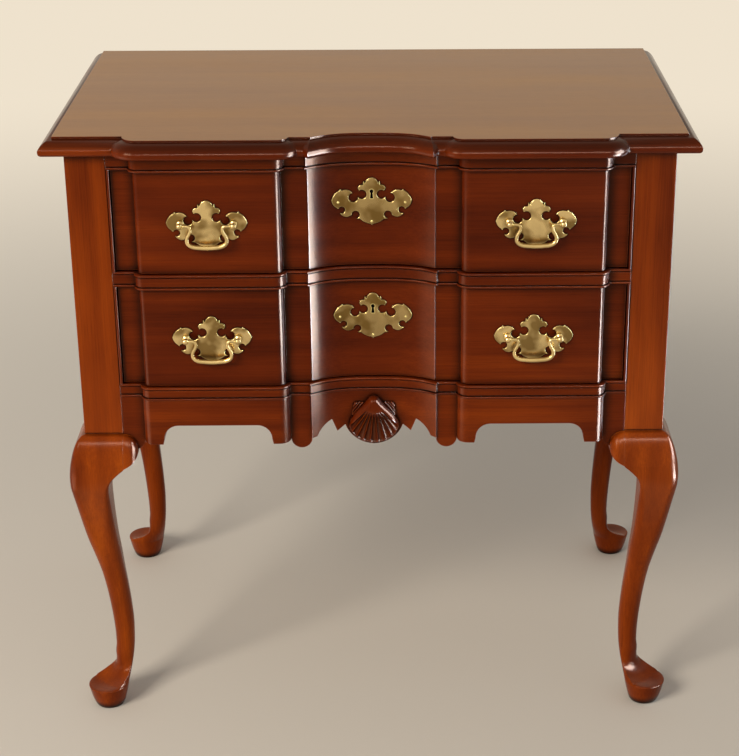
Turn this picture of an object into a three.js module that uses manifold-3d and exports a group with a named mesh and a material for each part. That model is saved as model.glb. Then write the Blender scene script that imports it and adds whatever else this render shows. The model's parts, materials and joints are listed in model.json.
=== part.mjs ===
// A block-front lowboy: a case of two full-width drawers on four cabriole legs.
// Millimetres. X runs to the right, Y runs from the front to the back, Z is up.
// Inside the model y = 0 is the front face of the posts and z = 0 is the floor.
// "Forward" distances are measured toward the viewer, so y = -forward.

import * as THREE from 'three';
import { mergeVertices } from 'three/addons/utils/BufferGeometryUtils.js';
import Module from 'manifold-3d';

const wasm = await Module();
wasm.setup();

// Overall sizes
const overallHeight = 775;
const caseWidth = 720;
const caseDepth = 428;
const postSize = 48;
const kneeRiseShare = 0.0542;

// Clearances
const glueGap = 0.3;
const slideGap = 0.8;
const revealGap = 1;
const boreGap = 0.35;
const overrun = 6;

// Top board
const topThickness = 21;
const mouldingWidth = 15;
const sideOverhang = 27;
const backOverhang = 5;
const topBlockForward = 22.5;
const topChannelForward = 10;
const topLipForward = 12;
const topCentreForward = -7;
const topEndForward = 3;
const topBlockReveal = 5;
const topInnerReveal = 7;
const topOuterCornerRun = 18;
const topInnerCornerRun = 13;

// Front levels
const topRailHeight = 20;
const middleRailHeight = 19;
const bottomRailHeight = 17;
const openingHeight = 127;
const railDepth = 40;

// Block-front plan of the rails: places as shares of the half opening between the posts
const concaveShare = 0.2468;
const blockInnerShare = 0.3301;
const blockOuterShare = 0.9135;
const pullShare = 0.625;
const blockForward = 14;
const lipForward = 3;
const lipRun = 1.5;
const centreRecess = 16;
const outerCornerRun = 11;
const innerCornerRun = 15;

// Beads
const beadHeight = 3.3;
const beadProud = 1.7;
const uprightBeadWidth = 3.6;
const uprightBeadDepth = 20;

// Apron
const apronThickness = 27;
const apronDepth = 73.5;
const archDepth = 34;
const archRadius = 18;
const stubDepth = 59.5;
const stubWidth = 13;
const innerStubWidth = 6.5;
const stubRise = 7;
const stubTaper = 1.5;
const notchDepth = 58.5;
const notchRun = 3.5;
const pendantStart = 57.5;
const flatEndDepth = 72;
const flatPendantRadius = 13.5;
const stepWidth = 6.5;
const stepDepth = 56.5;
const apexReach = 52.5;
const apexDepth = 37;
const cuspReach = 46;
const cuspDepth = 54;
const shellArcReach = 36;
const shellArcDepth = 46;
const shellArcBow = 0.32;
const stepBow = 0.2;

// Carved shell
const shellWidth = 62;
const shellHeight = 64;
const shellRise = 16;
const shellDrop = 3.5;
const shellLobes = 9;
const shellBacking = 3;
const shellFanAngle = 112;
const shellUmboShare = 0.86;
const shellUmboRiseShare = 0.82;
const shellFluteShare = 0.2;
const shellScallopShare = 0.045;

// Panels
const panelThickness = 20;
const panelInset = 1.5;
const backThickness = 8;
const backInset = 4;
const rearRailThickness = 19;

// Drawer supports
const runnerWidth = 28;
const runnerThickness = 19;
const guideHeight = 25;
const stopHeight = 12;
const stopGap = 0.6;

// Drawers
const drawerSetback = 4;
const drawerFrontDepth = 34;
const drawerSideThickness = 11;
const drawerBackThickness = 11;
const drawerBottomThickness = 6;
const drawerRearRoom = 11;
const sideTopDrop = 3;
const backTopDrop = 9;
const bottomRaise = 10;
const grooveDepth = 5;
const tailLength = 18;
const frontTails = 4;
const backTails = 3;

// Brasses
const plateWidth = 95;
const plateHeight = 60;
const plateThickness = 1.6;
const plateDrop = 1.2;
const escutcheonRaise = 17;
const postSpacing = 63.5;
const postRise = 1;
const shankRadius = 2.2;
const collarRadius = 4.4;
const collarThickness = 1.6;
const neckRadius = 2.4;
const headRadius = 4;
const headStandoff = 8.5;
const nutRadius = 5.5;
const nutThickness = 3.5;
const threadReach = 2.5;
const pinRadius = 1.5;
const bailNeckRadius = 2;
const bailGripRadius = 2.7;
const bailDrop = 27;
const bailEndGap = 0.8;
const keyholeRadius = 2.4;
const keyholeRaise = 13;
const keyholeLength = 9;
const keyholeNeckWidth = 2.4;
const keyholeFootWidth = 4;
const keyholeDepth = 12;

// Leg section by height: height as a share of the knee's height, then how far the outer and the inner
// faces lie from the post's middle as shares of the post size, then how round the outer corner and
// the other corners are as shares of the half width. The last two are the turn of the outer corner's
// arc as a share of a quarter turn, and how far it bulges from its chord, where 1 is the full arc.
const cabrioleShares = [
  [0, 0.719, 0.056, 1, 1, 1.82, 1],
  [0.0102, 0.762, 0.096, 1, 1, 1.82, 1],
  [0.0611, 0.883, 0.188, 1, 1, 1.82, 1],
  [0.0712, 0.8985, 0.197, 1, 1, 1.82, 1],
  [0.0802, 0.8585, 0.1956, 1, 1, 1.82, 0],
  [0.0891, 0.752, 0.25, 1, 1, 2.08, 0.08],
  [0.1005, 0.6465, 0.2577, 1, 1, 2.32, 0.23],
  [0.1145, 0.494, 0.2573, 1, 1, 2.51, 0.44],
  [0.1298, 0.412, 0.269, 1, 1, 2.61, 0.57],
  [0.1501, 0.295, 0.284, 1, 1, 2.5, 0.75],
  [0.1756, 0.211, 0.3054, 1, 1, 1.89, 0.95],
  [0.201, 0.174, 0.33, 1, 1, 1.29, 1],
  [0.2417, 0.178, 0.345, 1, 1, 1, 1],
  [0.28, 0.187, 0.354, 0.92, 0.92, 1, 1],
  [0.35, 0.235, 0.331, 0.92, 0.92, 1, 1],
  [0.42, 0.3, 0.288, 0.9, 0.88, 1, 1],
  [0.49, 0.39, 0.233, 0.86, 0.8, 1, 1],
  [0.56, 0.52, 0.187, 0.8, 0.72, 1, 1],
  [0.625, 0.645, 0.135, 0.72, 0.64, 1, 1],
  [0.69, 0.744, 0.098, 0.64, 0.54, 1, 1],
  [0.755, 0.835, 0.067, 0.56, 0.42, 1, 1],
  [0.8, 0.898, 0.063, 0.5, 0.3, 1, 1],
  [0.832, 0.934, 0.115, 0.45, 0.2, 1, 1],
  [0.853, 0.938, 0.24, 0.42, 0.12, 1, 1],
  [0.868, 0.935, 0.395, 0.38, 0.07, 1, 1],
  [0.885, 0.925, 0.5, 0.35, 0.05, 1, 1],
  [0.926, 0.865, 0.5, 0.3, 0.05, 1, 1],
  [0.96, 0.782, 0.5, 0.22, 0.05, 1, 1],
  [0.983, 0.69, 0.5, 0.14, 0.05, 1, 1],
  [0.996, 0.59, 0.5, 0.08, 0.05, 1, 1],
];
const postArrisShare = 0.04;

// Knee block: how far it reaches past the leg, and its lower edge from the leg outward, as shares of
// the knee's height; the top edge rounds over to meet it.
const kneeBlockReach = 17.5;
const kneeBlockDepth = 20;
const kneeBlockShares = [
  [0, 0.885, 1],
  [0.3, 0.892, 0.97],
  [0.58, 0.899, 0.84],
  [0.8, 0.908, 0.65],
  [0.94, 0.92, 0.42],
  [1, 0.934, 0.2],
];
const kneeBlockTipShare = 0.955;

// Shell from its umbo to its rim: share of the reach, share of the rise
const shellShares = [
  [0.3, 0.99],
  [0.55, 0.94],
  [0.8, 0.75],
  [0.94, 0.56],
  [1, 0.45],
];

// Edge moulding from the surface down: share of the moulding's width, share of the thickness
const mouldingShares = [
  [0, 0],
  [0, 0.1],
  [0.09, 0.13],
  [0.4, 0.2],
  [0.68, 0.34],
  [0.88, 0.5],
  [1, 0.68],
  [0.98, 0.84],
  [0.86, 0.96],
  [0.74, 1],
];

// Bead profile: share of the height, share of how proud it stands
const beadShares = [
  [0, 0.55],
  [0.3, 1],
  [0.7, 1],
  [1, 0.55],
];

// Right half of the pierced plate, clockwise from its top: share of the half width, share of the
// half height, and the bow of the side that follows (1 is a half circle, positive outward).
const plateShares = [
  [0, 1, 0.26],
  [0.14, 0.857, 0.1],
  [0.166, 0.757, 0],
  [0.202, 0.85, 0],
  [0.219, 0.69, 0.45],
  [0.345, 0.57, 0.2],
  [0.307, 0.458, -2.36],
  [0.345, 0.2, -2.36],
  [0.486, 0.36, 0.1],
  [0.56, 0.465, 0.12],
  [0.652, 0.51, 0.1],
  [0.755, 0.48, 0],
  [0.79, 0.53, 0],
  [0.81, 0.49, 0.22],
  [1.01, 0.1, 0.12],
  [0.955, -0.12, 0.1],
  [0.84, -0.27, -2.4],
  [0.795, -0.46, 0.25],
  [0.64, -0.63, 0.2],
  [0.507, -0.54, -2.2],
  [0.395, -0.7, -0.1],
  [0.301, -0.73, 0.15],
  [0.06, -0.92, -0.1],
  [0, -0.97, 0],
];

// Right half of the bail from the hidden tip of its pin to the middle of the grip: share of half
// the post spacing, share of the drop.
const bailShares = [
  [0.985, 0],
  [0.9, 0],
  [0.78, 0],
  [0.68, -0.02],
  [0.625, -0.09],
  [0.612, -0.2],
  [0.66, -0.35],
  [0.74, -0.52],
  [0.765, -0.67],
  [0.715, -0.83],
  [0.56, -0.94],
  [0.3, -0.985],
  [0, -1],
];

// Where the bail's neck starts and ends, as shares of the way from its tip to the middle of the grip
const neckStartShare = 0.1;
const neckEndShare = 0.2;
const gripStartShare = 0.3;

// How finely the curves are divided
const cornerSteps = 2;
const toeSteps = 4;
const concaveSteps = 6;
const blockSteps = 4;
const arcSteps = 4;
const lobeSteps = 4;
const postSides = 8;
const ballSteps = 5;
const bailSteps = 20;
const bailSides = 6;

// Bows of a side: a quarter and a half circle
const quarterBow = Math.SQRT2 - 1;
const halfBow = 1;

// Dovetails: half width at the root and at the end, as shares of their spacing
const tailRootShare = 0.27;
const tailEndShare = 0.36;

// Levels and places worked out from the sizes above
const caseTop = overallHeight - topThickness - glueGap;
const postHalf = postSize / 2;
const postMiddleX = caseWidth / 2 - postHalf;
const postInnerX = caseWidth / 2 - postSize;
const upperOpening = caseTop - topRailHeight - openingHeight;
const lowerOpening = upperOpening - middleRailHeight - openingHeight;
const apronTop = lowerOpening - bottomRailHeight;
const apronBottom = apronTop - apronDepth;
const flatEndBottom = apronTop - flatEndDepth;
const kneeHeight = flatEndBottom / (1 - kneeRiseShare);
const pullReach = postInnerX * pullShare;
const panelOuterX = caseWidth / 2 - panelInset;
const panelInnerX = panelOuterX - panelThickness;
const backFront = caseDepth - backInset - backThickness;
const boardHalf = postInnerX - glueGap;

const railPlan = {
  centre: -centreRecess,
  lip: lipForward,
  channel: 0,
  block: blockForward,
  end: 0,
  concaveHalf: postInnerX * concaveShare,
  blockInner: postInnerX * blockInnerShare,
  faceInner: postInnerX * blockInnerShare + innerCornerRun,
  faceOuter: postInnerX * blockOuterShare - outerCornerRun,
  blockOuter: postInnerX * blockOuterShare,
  endHalf: boardHalf,
};
const topPlan = {
  centre: topCentreForward,
  lip: topLipForward,
  channel: topChannelForward,
  block: topBlockForward,
  end: topEndForward,
  concaveHalf: railPlan.concaveHalf - topInnerReveal,
  blockInner: railPlan.blockInner - topInnerReveal,
  faceInner: railPlan.blockInner - topInnerReveal + topInnerCornerRun,
  faceOuter: railPlan.blockOuter + topBlockReveal - topOuterCornerRun,
  blockOuter: railPlan.blockOuter + topBlockReveal,
  endHalf: caseWidth / 2 + sideOverhang - mouldingWidth,
};

// Materials
const caseWood = new THREE.MeshStandardMaterial({ color: 0x6e2a12, roughness: 0.35 });
const frontWood = new THREE.MeshStandardMaterial({ color: 0x5a1d0d, roughness: 0.32 });
const insideWood = new THREE.MeshStandardMaterial({ color: 0xc9a673, roughness: 0.7 });
const brass = new THREE.MeshStandardMaterial({ color: 0xb8933f, roughness: 0.3, metalness: 1 });

const lowboy = new THREE.Group();

function addPiece(name, geometry, material, place = [0, 0, 0]) {
  const mesh = new THREE.Mesh(geometry, material);
  mesh.name = name;
  mesh.position.set(...place);
  lowboy.add(mesh);
  return mesh;
}

// Geometry helpers

function volumeOf(geometry) {
  const corners = geometry.attributes.position;
  const order = geometry.index.array;
  const a = new THREE.Vector3();
  const b = new THREE.Vector3();
  const c = new THREE.Vector3();
  let volume = 0;
  for (let i = 0; i < order.length; i += 3) {
    a.fromBufferAttribute(corners, order[i]);
    b.fromBufferAttribute(corners, order[i + 1]);
    c.fromBufferAttribute(corners, order[i + 2]);
    volume += a.dot(b.cross(c)) / 6;
  }
  return volume;
}

// Skins a row of rings that have the same number of points and closes both ends.
// flatten gives a ring's outline in its own plane, which is how the ends are divided.
function loft(rings, flatten = (point) => new THREE.Vector2(point.x, point.y)) {
  const count = rings[0].length;
  const faces = [];
  for (let ring = 0; ring + 1 < rings.length; ring += 1) {
    for (let i = 0; i < count; i += 1) {
      const near = ring * count + i;
      const side = ring * count + ((i + 1) % count);
      faces.push([near, side, side + count], [near, side + count, near + count]);
    }
  }
  for (const end of [0, rings.length - 1]) {
    const outline = rings[end].map(flatten);
    const turn = Math.sign(THREE.ShapeUtils.area(outline)) * (end === 0 ? -1 : 1);
    for (const [i, j, k] of THREE.ShapeUtils.triangulateShape(outline, [])) {
      const same = Math.sign(THREE.ShapeUtils.area([outline[i], outline[j], outline[k]])) === turn;
      faces.push((same ? [i, j, k] : [i, k, j]).map((corner) => corner + end * count));
    }
  }
  const geometry = new THREE.BufferGeometry().setFromPoints(rings.flat());
  geometry.setIndex(faces.flat());
  if (volumeOf(geometry) < 0) {
    geometry.setIndex(faces.flatMap(([i, j, k]) => [i, k, j]));
  }
  return geometry;
}

function toSolid(geometry) {
  const bare = geometry.clone();
  bare.deleteAttribute('normal');
  bare.deleteAttribute('uv');
  const merged = mergeVertices(bare);
  return new wasm.Manifold(new wasm.Mesh({
    numProp: 3,
    vertProperties: Float32Array.from(merged.attributes.position.array),
    triVerts: Uint32Array.from(merged.index.array),
  }));
}

function toGeometry(solid) {
  const mesh = solid.getMesh();
  const geometry = new THREE.BufferGeometry();
  geometry.setAttribute('position', new THREE.BufferAttribute(mesh.vertProperties, 3));
  geometry.setIndex(new THREE.BufferAttribute(mesh.triVerts, 1));
  return geometry;
}

const join = (...pieces) => toGeometry(pieces.map(toSolid).reduce((all, next) => all.add(next)));
const cut = (piece, ...tools) =>
  toGeometry(tools.map(toSolid).reduce((rest, tool) => rest.subtract(tool), toSolid(piece)));
const common = (one, other) => toGeometry(toSolid(one).intersect(toSolid(other)));

// A squared board between two corners
function board([x0, y0, z0], [x1, y1, z1]) {
  const geometry = new THREE.BoxGeometry(x1 - x0, y1 - y0, z1 - z0);
  return geometry.translate((x0 + x1) / 2, (y0 + y1) / 2, (z0 + z1) / 2);
}

// The same solid on the other side of x = 0, with its faces turned out again
function mirrorX(geometry) {
  const twin = geometry.index ? geometry.toNonIndexed() : geometry.clone();
  const order = [];
  for (let i = 0; i < twin.attributes.position.count; i += 3) order.push(i, i + 2, i + 1);
  twin.setIndex(order);
  return twin.scale(-1, 1, 1);
}

// A flat shape drawn in x and z, standing upright and running from y0 to y1
function upright(outline, y0, y1) {
  const geometry = new THREE.ExtrudeGeometry(new THREE.Shape(outline), {
    depth: y1 - y0,
    bevelEnabled: false,
  });
  return geometry.rotateX(Math.PI / 2).translate(0, y1, 0);
}

// A flat shape drawn in y and z, running from x0 to x1
function crosswise(outline, x0, x1) {
  const geometry = new THREE.ExtrudeGeometry(new THREE.Shape(outline), {
    depth: x1 - x0,
    bevelEnabled: false,
  });
  geometry.rotateX(Math.PI / 2);
  geometry.rotateZ(Math.PI / 2);
  return geometry.translate(x0, 0, 0);
}

// Points of a line whose sides may bow into arcs: each entry is x, z and the bow of the next side
function bowedLine(entries) {
  const points = [];
  for (let i = 0; i + 1 < entries.length; i += 1) {
    const [x, z, bow] = entries[i];
    const from = new THREE.Vector2(x, z);
    const to = new THREE.Vector2(entries[i + 1][0], entries[i + 1][1]);
    points.push(from);
    if (bow === 0) continue;
    const chord = to.clone().sub(from);
    const left = new THREE.Vector2(-chord.y, chord.x);
    const middle = from.clone().lerp(to, 0.5);
    const centre = middle.addScaledVector(left, -(1 - bow * bow) / (4 * bow));
    const turn = -4 * Math.atan(bow);
    const steps = Math.max(2, Math.round((arcSteps * Math.abs(turn)) / Math.PI));
    for (let step = 1; step < steps; step += 1) {
      points.push(from.clone().rotateAround(centre, (turn * step) / steps));
    }
  }
  const last = entries[entries.length - 1];
  points.push(new THREE.Vector2(last[0], last[1]));
  return points;
}

// Adds the left half of a line whose right half starts or ends on the middle
const mirrored = (points) => points.map((point) => new THREE.Vector2(-point.x, point.y)).reverse();

// Block-front contour

// Left to right points of a front edge seen from above: x and how far forward
function contour(plan) {
  const half = [];
  for (let step = 1; step <= concaveSteps; step += 1) {
    const share = step / concaveSteps;
    const forward = THREE.MathUtils.lerp(plan.centre, plan.lip, share ** 3);
    half.push(new THREE.Vector2(plan.concaveHalf * share, forward));
  }
  half.push(new THREE.Vector2(plan.concaveHalf + lipRun, plan.channel));
  for (let step = 0; step <= blockSteps; step += 1) {
    const angle = ((Math.PI / 2) * step) / blockSteps;
    const x = THREE.MathUtils.lerp(plan.blockInner, plan.faceInner, 1 - Math.cos(angle));
    const forward = THREE.MathUtils.lerp(plan.channel, plan.block, Math.sin(angle));
    half.push(new THREE.Vector2(x, forward));
  }
  for (let step = 0; step <= blockSteps; step += 1) {
    const angle = ((Math.PI / 2) * step) / blockSteps;
    const x = THREE.MathUtils.lerp(plan.faceOuter, plan.blockOuter, Math.sin(angle));
    const forward = THREE.MathUtils.lerp(plan.end, plan.block, Math.cos(angle));
    half.push(new THREE.Vector2(x, forward));
  }
  half.push(new THREE.Vector2(plan.endHalf, plan.end));
  return [...mirrored(half), new THREE.Vector2(0, plan.centre), ...half];
}

// Spreads the points of a rounded corner that have sunk below the flat beside it along that flat,
// from the corner's first point to the place where the rounding leaves the flat
function restOnFlat(points, corner, step, level) {
  let leaving = corner + step;
  while (points[leaving].y < level) leaving += step;
  const sunk = Math.abs(leaving - corner) - 1;
  if (sunk === 0) return;
  const below = points[leaving - step];
  const above = points[leaving];
  const end = below.clone().lerp(above, (level - below.y) / (above.y - below.y));
  for (let i = 1; i <= sunk; i += 1) {
    points[corner + step * i].lerpVectors(points[corner], end, i / sunk);
  }
}

// The same contour moved forward by a distance, with mitred corners
function offsetContour(plan, distance) {
  const points = contour(plan);
  const normals = points.slice(1).map((point, i) => {
    const side = point.clone().sub(points[i]).normalize();
    return new THREE.Vector2(-side.y, side.x);
  });
  const moved = points.map((point, i) => {
    const before = normals[Math.max(i - 1, 0)];
    const after = normals[Math.min(i, normals.length - 1)];
    const mitre = before.clone().add(after).normalize();
    return point.clone().addScaledVector(mitre, distance / mitre.dot(after));
  });
  const middle = (points.length - 1) / 2;
  restOnFlat(moved, middle + concaveSteps + 2, 1, plan.channel + distance);
  restOnFlat(moved, points.length - 2, -1, plan.end + distance);
  const right = moved.slice(middle + 1);
  return [...mirrored(right), moved[middle], ...right];
}

// Ring at one level: the contour in front and a straight back
function frontRing(points, backHalf, backY, z) {
  const ring = points.map((point) => new THREE.Vector3(point.x, -point.y, z));
  ring.push(new THREE.Vector3(backHalf, backY, z), new THREE.Vector3(-backHalf, backY, z));
  return ring;
}

// Upright solid whose front is the contour, offset forward by a distance
function contourSolid(plan, distance, backY, z0, z1) {
  const points = offsetContour(plan, distance);
  return loft([z0, z1].map((z) => frontRing(points, plan.endHalf, backY, z)));
}

// Top board

function topBoard() {
  const surface = contour(topPlan);
  const lip = offsetContour(topPlan, mouldingWidth);
  lip[0].x = -topPlan.endHalf - mouldingWidth;
  lip[lip.length - 1].x = topPlan.endHalf + mouldingWidth;
  const rings = mouldingShares.map(([outShare, dropShare]) => {
    const points = surface.map((point, i) => point.clone().lerp(lip[i], outShare));
    const backHalf = topPlan.endHalf + mouldingWidth * outShare;
    const z = overallHeight - topThickness * dropShare;
    return frontRing(points, backHalf, caseDepth + backOverhang, z);
  });
  return loft(rings);
}

// Legs

// Square ring with rounded corners, in the leg's own frame: its outer corner points to +x and -y
function legRing(outer, inner, [outerRound, otherRound, turnShare, bulge], z) {
  const half = (outer + inner) / 2;
  const middle = (outer - inner) / 2;
  const outerTurn = (Math.PI / 2) * turnShare;
  const otherTurn = (2 * Math.PI - outerTurn) / 3;
  const points = [];
  let angle = (outerTurn - Math.PI / 2) / 2;
  for (let corner = 0; corner < 4; corner += 1) {
    const isOuter = corner === 3;
    const turn = isOuter ? outerTurn : otherTurn;
    const steps = isOuter ? toeSteps : cornerSteps;
    const radius = half * (isOuter ? outerRound : otherRound);
    const along = half - radius;
    const cornerX = middle + along * (corner === 0 || isOuter ? 1 : -1);
    const cornerY = -middle + along * (corner < 2 ? 1 : -1);
    const arc = [];
    for (let step = 0; step <= steps; step += 1) {
      const heading = angle + (turn * step) / steps;
      const x = cornerX + radius * Math.cos(heading);
      const y = cornerY + radius * Math.sin(heading);
      arc.push(new THREE.Vector3(x, y, z));
    }
    for (let step = 0; step <= steps; step += 1) {
      const onChord = arc[0].clone().lerp(arc[steps], step / steps);
      points.push(isOuter ? onChord.lerp(arc[step], bulge) : arc[step]);
    }
    angle += turn;
  }
  return points;
}

function leg() {
  const rings = cabrioleShares.map(([heightShare, outer, inner, ...corners]) =>
    legRing(outer * postSize, inner * postSize, corners, heightShare * kneeHeight));
  for (const z of [kneeHeight, caseTop]) {
    rings.push(legRing(postHalf, postHalf, [postArrisShare, postArrisShare, 1, 1], z));
  }
  return loft(rings);
}

// Knee block beside the leg, in the leg's own frame, reaching toward -x with its face toward -y.
// Its face continues the knee; behind, it stands under the case's lower edge.
function kneeBlock() {
  const lowest = kneeBlockShares[0][1];
  const kneeStations = cabrioleShares.filter(([heightShare]) => heightShare >= lowest).reverse();
  const rings = kneeBlockShares.map(([reachShare, bottomShare, bulgeShare]) => {
    const x = -postHalf - glueGap - kneeBlockReach * reachShare;
    const bottom = bottomShare * kneeHeight;
    const roundOver = 1 - Math.sqrt(1 - reachShare ** 2);
    const topShare = THREE.MathUtils.lerp(1, kneeBlockTipShare, roundOver);
    const top = topShare * kneeHeight - glueGap;
    const ring = [];
    for (const [heightShare, outerShare] of kneeStations) {
      const z = THREE.MathUtils.mapLinear(heightShare, 1, kneeStations.at(-1)[0], top, bottom);
      const swell = outerShare * postSize - postHalf;
      ring.push(new THREE.Vector3(x, -postHalf - glueGap - swell * bulgeShare, z));
    }
    const underEdge = flatEndBottom - glueGap;
    ring.push(new THREE.Vector3(x, kneeBlockDepth - postHalf, bottom));
    ring.push(new THREE.Vector3(x, kneeBlockDepth - postHalf, underEdge));
    ring.push(new THREE.Vector3(x, -postHalf - glueGap, underEdge));
    ring.push(new THREE.Vector3(x, -postHalf - glueGap, top));
    return ring;
  });
  return loft(rings, (point) => new THREE.Vector2(point.y, point.z));
}

function addLegs() {
  const legGeometry = leg();
  const blockGeometry = kneeBlock();
  const sides = [['left', -1], ['right', 1]];
  for (const [side, sign] of sides) {
    for (const [end, y] of [['front', postHalf], ['rear', caseDepth - postHalf]]) {
      const facing = end === 'front' ? 1 : -1;
      const place = [sign * postMiddleX, y, 0];
      addPiece(`${end}_${side}_leg`, legGeometry, caseWood, place).scale.set(sign, facing, 1);
      const flank = addPiece(`${end}_${side}_side_knee_block`, blockGeometry, caseWood, place);
      flank.rotation.z = (sign * Math.PI) / 2;
      flank.scale.x = -sign * facing;
      if (end === 'front') {
        const face = addPiece(`front_${side}_front_knee_block`, blockGeometry, caseWood, place);
        face.scale.x = sign;
      }
    }
  }
}

// Rails, beads and apron

// A rail in the block contour with a bead along the chosen edges
function rail(bottom, height, beadAtTop) {
  const levels = [];
  for (const [heightShare, proudShare] of beadShares) {
    levels.push([bottom + beadHeight * heightShare, beadProud * proudShare]);
  }
  levels.push([bottom + beadHeight, 0]);
  if (beadAtTop) {
    levels.push([bottom + height - beadHeight, 0]);
    for (const [heightShare, proudShare] of beadShares) {
      levels.push([bottom + height - beadHeight * (1 - heightShare), beadProud * proudShare]);
    }
  } else {
    levels.push([bottom + height, 0]);
  }
  return loft(levels.map(([z, proud]) =>
    frontRing(offsetContour(railPlan, proud), railPlan.endHalf, railDepth, z)));
}

function addRails() {
  addPiece('top_rail', rail(caseTop - topRailHeight, topRailHeight, false), frontWood);
  addPiece('middle_rail', rail(upperOpening - middleRailHeight, middleRailHeight, true), frontWood);
  addPiece('bottom_rail', rail(apronTop, bottomRailHeight, true), frontWood);
}

function addUprightBeads() {
  const inner = boardHalf - uprightBeadWidth;
  for (const [level, bottom] of [['upper', upperOpening], ['lower', lowerOpening]]) {
    const low = [inner, -beadProud, bottom + glueGap];
    const high = [boardHalf, uprightBeadDepth, bottom + openingHeight - glueGap];
    const bead = board(low, high);
    addPiece(`${level}_left_bead`, bead, frontWood).scale.x = -1;
    addPiece(`${level}_right_bead`, bead, frontWood);
  }
}

// Lower edge of the apron from the right post to the middle: x, depth below the apron's top, bow
function apronEdge() {
  const { blockOuter, faceOuter, faceInner, blockInner, concaveHalf } = railPlan;
  const outerStub = faceOuter - stubWidth;
  const innerStub = faceInner + innerStubWidth;
  const entries = [
    [postInnerX, flatEndDepth, 0],
    [blockOuter + flatPendantRadius, flatEndDepth, quarterBow],
    [blockOuter, notchDepth, 0],
    [faceOuter, stubDepth, 0],
    [outerStub, stubDepth, 0],
    [outerStub - stubTaper, stubDepth - stubRise, -quarterBow],
    [outerStub - stubTaper - archRadius, archDepth, 0],
    [innerStub + stubTaper + archRadius, archDepth, -quarterBow],
    [innerStub + stubTaper, stubDepth - stubRise, 0],
    [innerStub, stubDepth, 0],
    [blockInner + notchRun, stubDepth, 0],
    [blockInner, notchDepth, halfBow],
    [concaveHalf, pendantStart, 0],
    [concaveHalf - stepWidth, stepDepth, -stepBow],
    [apexReach, apexDepth, 0],
    [cuspReach, cuspDepth, 0],
    [shellArcReach, shellArcDepth, shellArcBow],
    [0, apronDepth, 0],
  ];
  return bowedLine(entries.map(([x, depth, bow]) => [x, apronTop - depth, bow]));
}

function frontApron() {
  const top = apronTop - glueGap;
  const blank = contourSolid(railPlan, 0, apronThickness, apronBottom - overrun, top);
  const right = apronEdge();
  right[0].x += overrun;
  const edge = [...right, ...mirrored(right).slice(1)];
  const crown = top + overrun;
  const keep = [new THREE.Vector2(right[0].x, crown), ...edge, new THREE.Vector2(-right[0].x, crown)];
  return common(blank, upright(keep, -blockForward - overrun, apronThickness + overrun));
}

// Carved shell: lobes fan out from the umbo near its top. Each lobe swells between two sharp valleys.
function carvedShell() {
  const fan = THREE.MathUtils.degToRad(shellFanAngle);
  const steps = shellLobes * lobeSteps;
  const umboZ = shellHeight * shellUmboShare;
  const rimRadius = shellWidth / 2;
  const umboHeight = umboZ - rimRadius;
  const rimAt = (angle) =>
    umboHeight * Math.cos(angle) + Math.sqrt(rimRadius ** 2 - (umboHeight * Math.sin(angle)) ** 2);
  const points = [
    new THREE.Vector3(0, -shellRise * shellUmboRiseShare, umboZ),
    new THREE.Vector3(0, 0, umboZ),
  ];
  const front = [];
  const back = [];
  for (let step = 0; step <= steps; step += 1) {
    const angle = fan * ((2 * step) / steps - 1);
    const swell = Math.abs(Math.sin((Math.PI * step) / lobeSteps));
    const rim = rimAt(angle) * (1 - shellScallopShare * (1 - swell));
    front.push(shellShares.map(([reachShare, riseShare]) => {
      const rise = shellRise * riseShare * (1 - shellFluteShare * reachShare * (1 - swell));
      const reach = rim * reachShare;
      points.push(new THREE.Vector3(Math.sin(angle) * reach, -rise, umboZ - Math.cos(angle) * reach));
      return points.length - 1;
    }));
    points.push(new THREE.Vector3(Math.sin(angle) * rim, 0, umboZ - Math.cos(angle) * rim));
    back.push(points.length - 1);
  }
  const faces = [];
  const last = shellShares.length - 1;
  for (let step = 0; step <= steps; step += 1) {
    const next = (step + 1) % (steps + 1);
    faces.push([0, front[step][0], front[next][0]]);
    for (let row = 0; row < last; row += 1) {
      faces.push([front[step][row], front[step][row + 1], front[next][row + 1]]);
      faces.push([front[step][row], front[next][row + 1], front[next][row]]);
    }
    faces.push([front[step][last], back[step], back[next]]);
    faces.push([front[step][last], back[next], front[next][last]]);
    faces.push([1, back[next], back[step]]);
  }
  const geometry = new THREE.BufferGeometry().setFromPoints(points);
  geometry.setIndex(faces.flat());
  if (volumeOf(geometry) < 0) geometry.setIndex(faces.flatMap(([i, j, k]) => [i, k, j]));
  return geometry;
}

// Case panels and drawer supports

function addPanels() {
  const low = [panelInnerX, postSize + glueGap, flatEndBottom];
  const high = [panelOuterX, caseDepth - postSize - glueGap, caseTop];
  const panel = board(low, high);
  addPiece('left_side_panel', panel, caseWood).scale.x = -1;
  addPiece('right_side_panel', panel, caseWood);
  const backLow = [-boardHalf, backFront, apronTop];
  addPiece('back_panel', board(backLow, [boardHalf, backFront + backThickness, caseTop]), insideWood);
  const railBack = backFront - glueGap;
  const rearLow = [-boardHalf, railBack - rearRailThickness, caseTop - topRailHeight];
  addPiece('rear_rail', board(rearLow, [boardHalf, railBack, caseTop]), insideWood);
}

const drawerHalf = boardHalf - uprightBeadWidth - revealGap;
const drawerRear = backFront - glueGap - drawerRearRoom;

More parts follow.
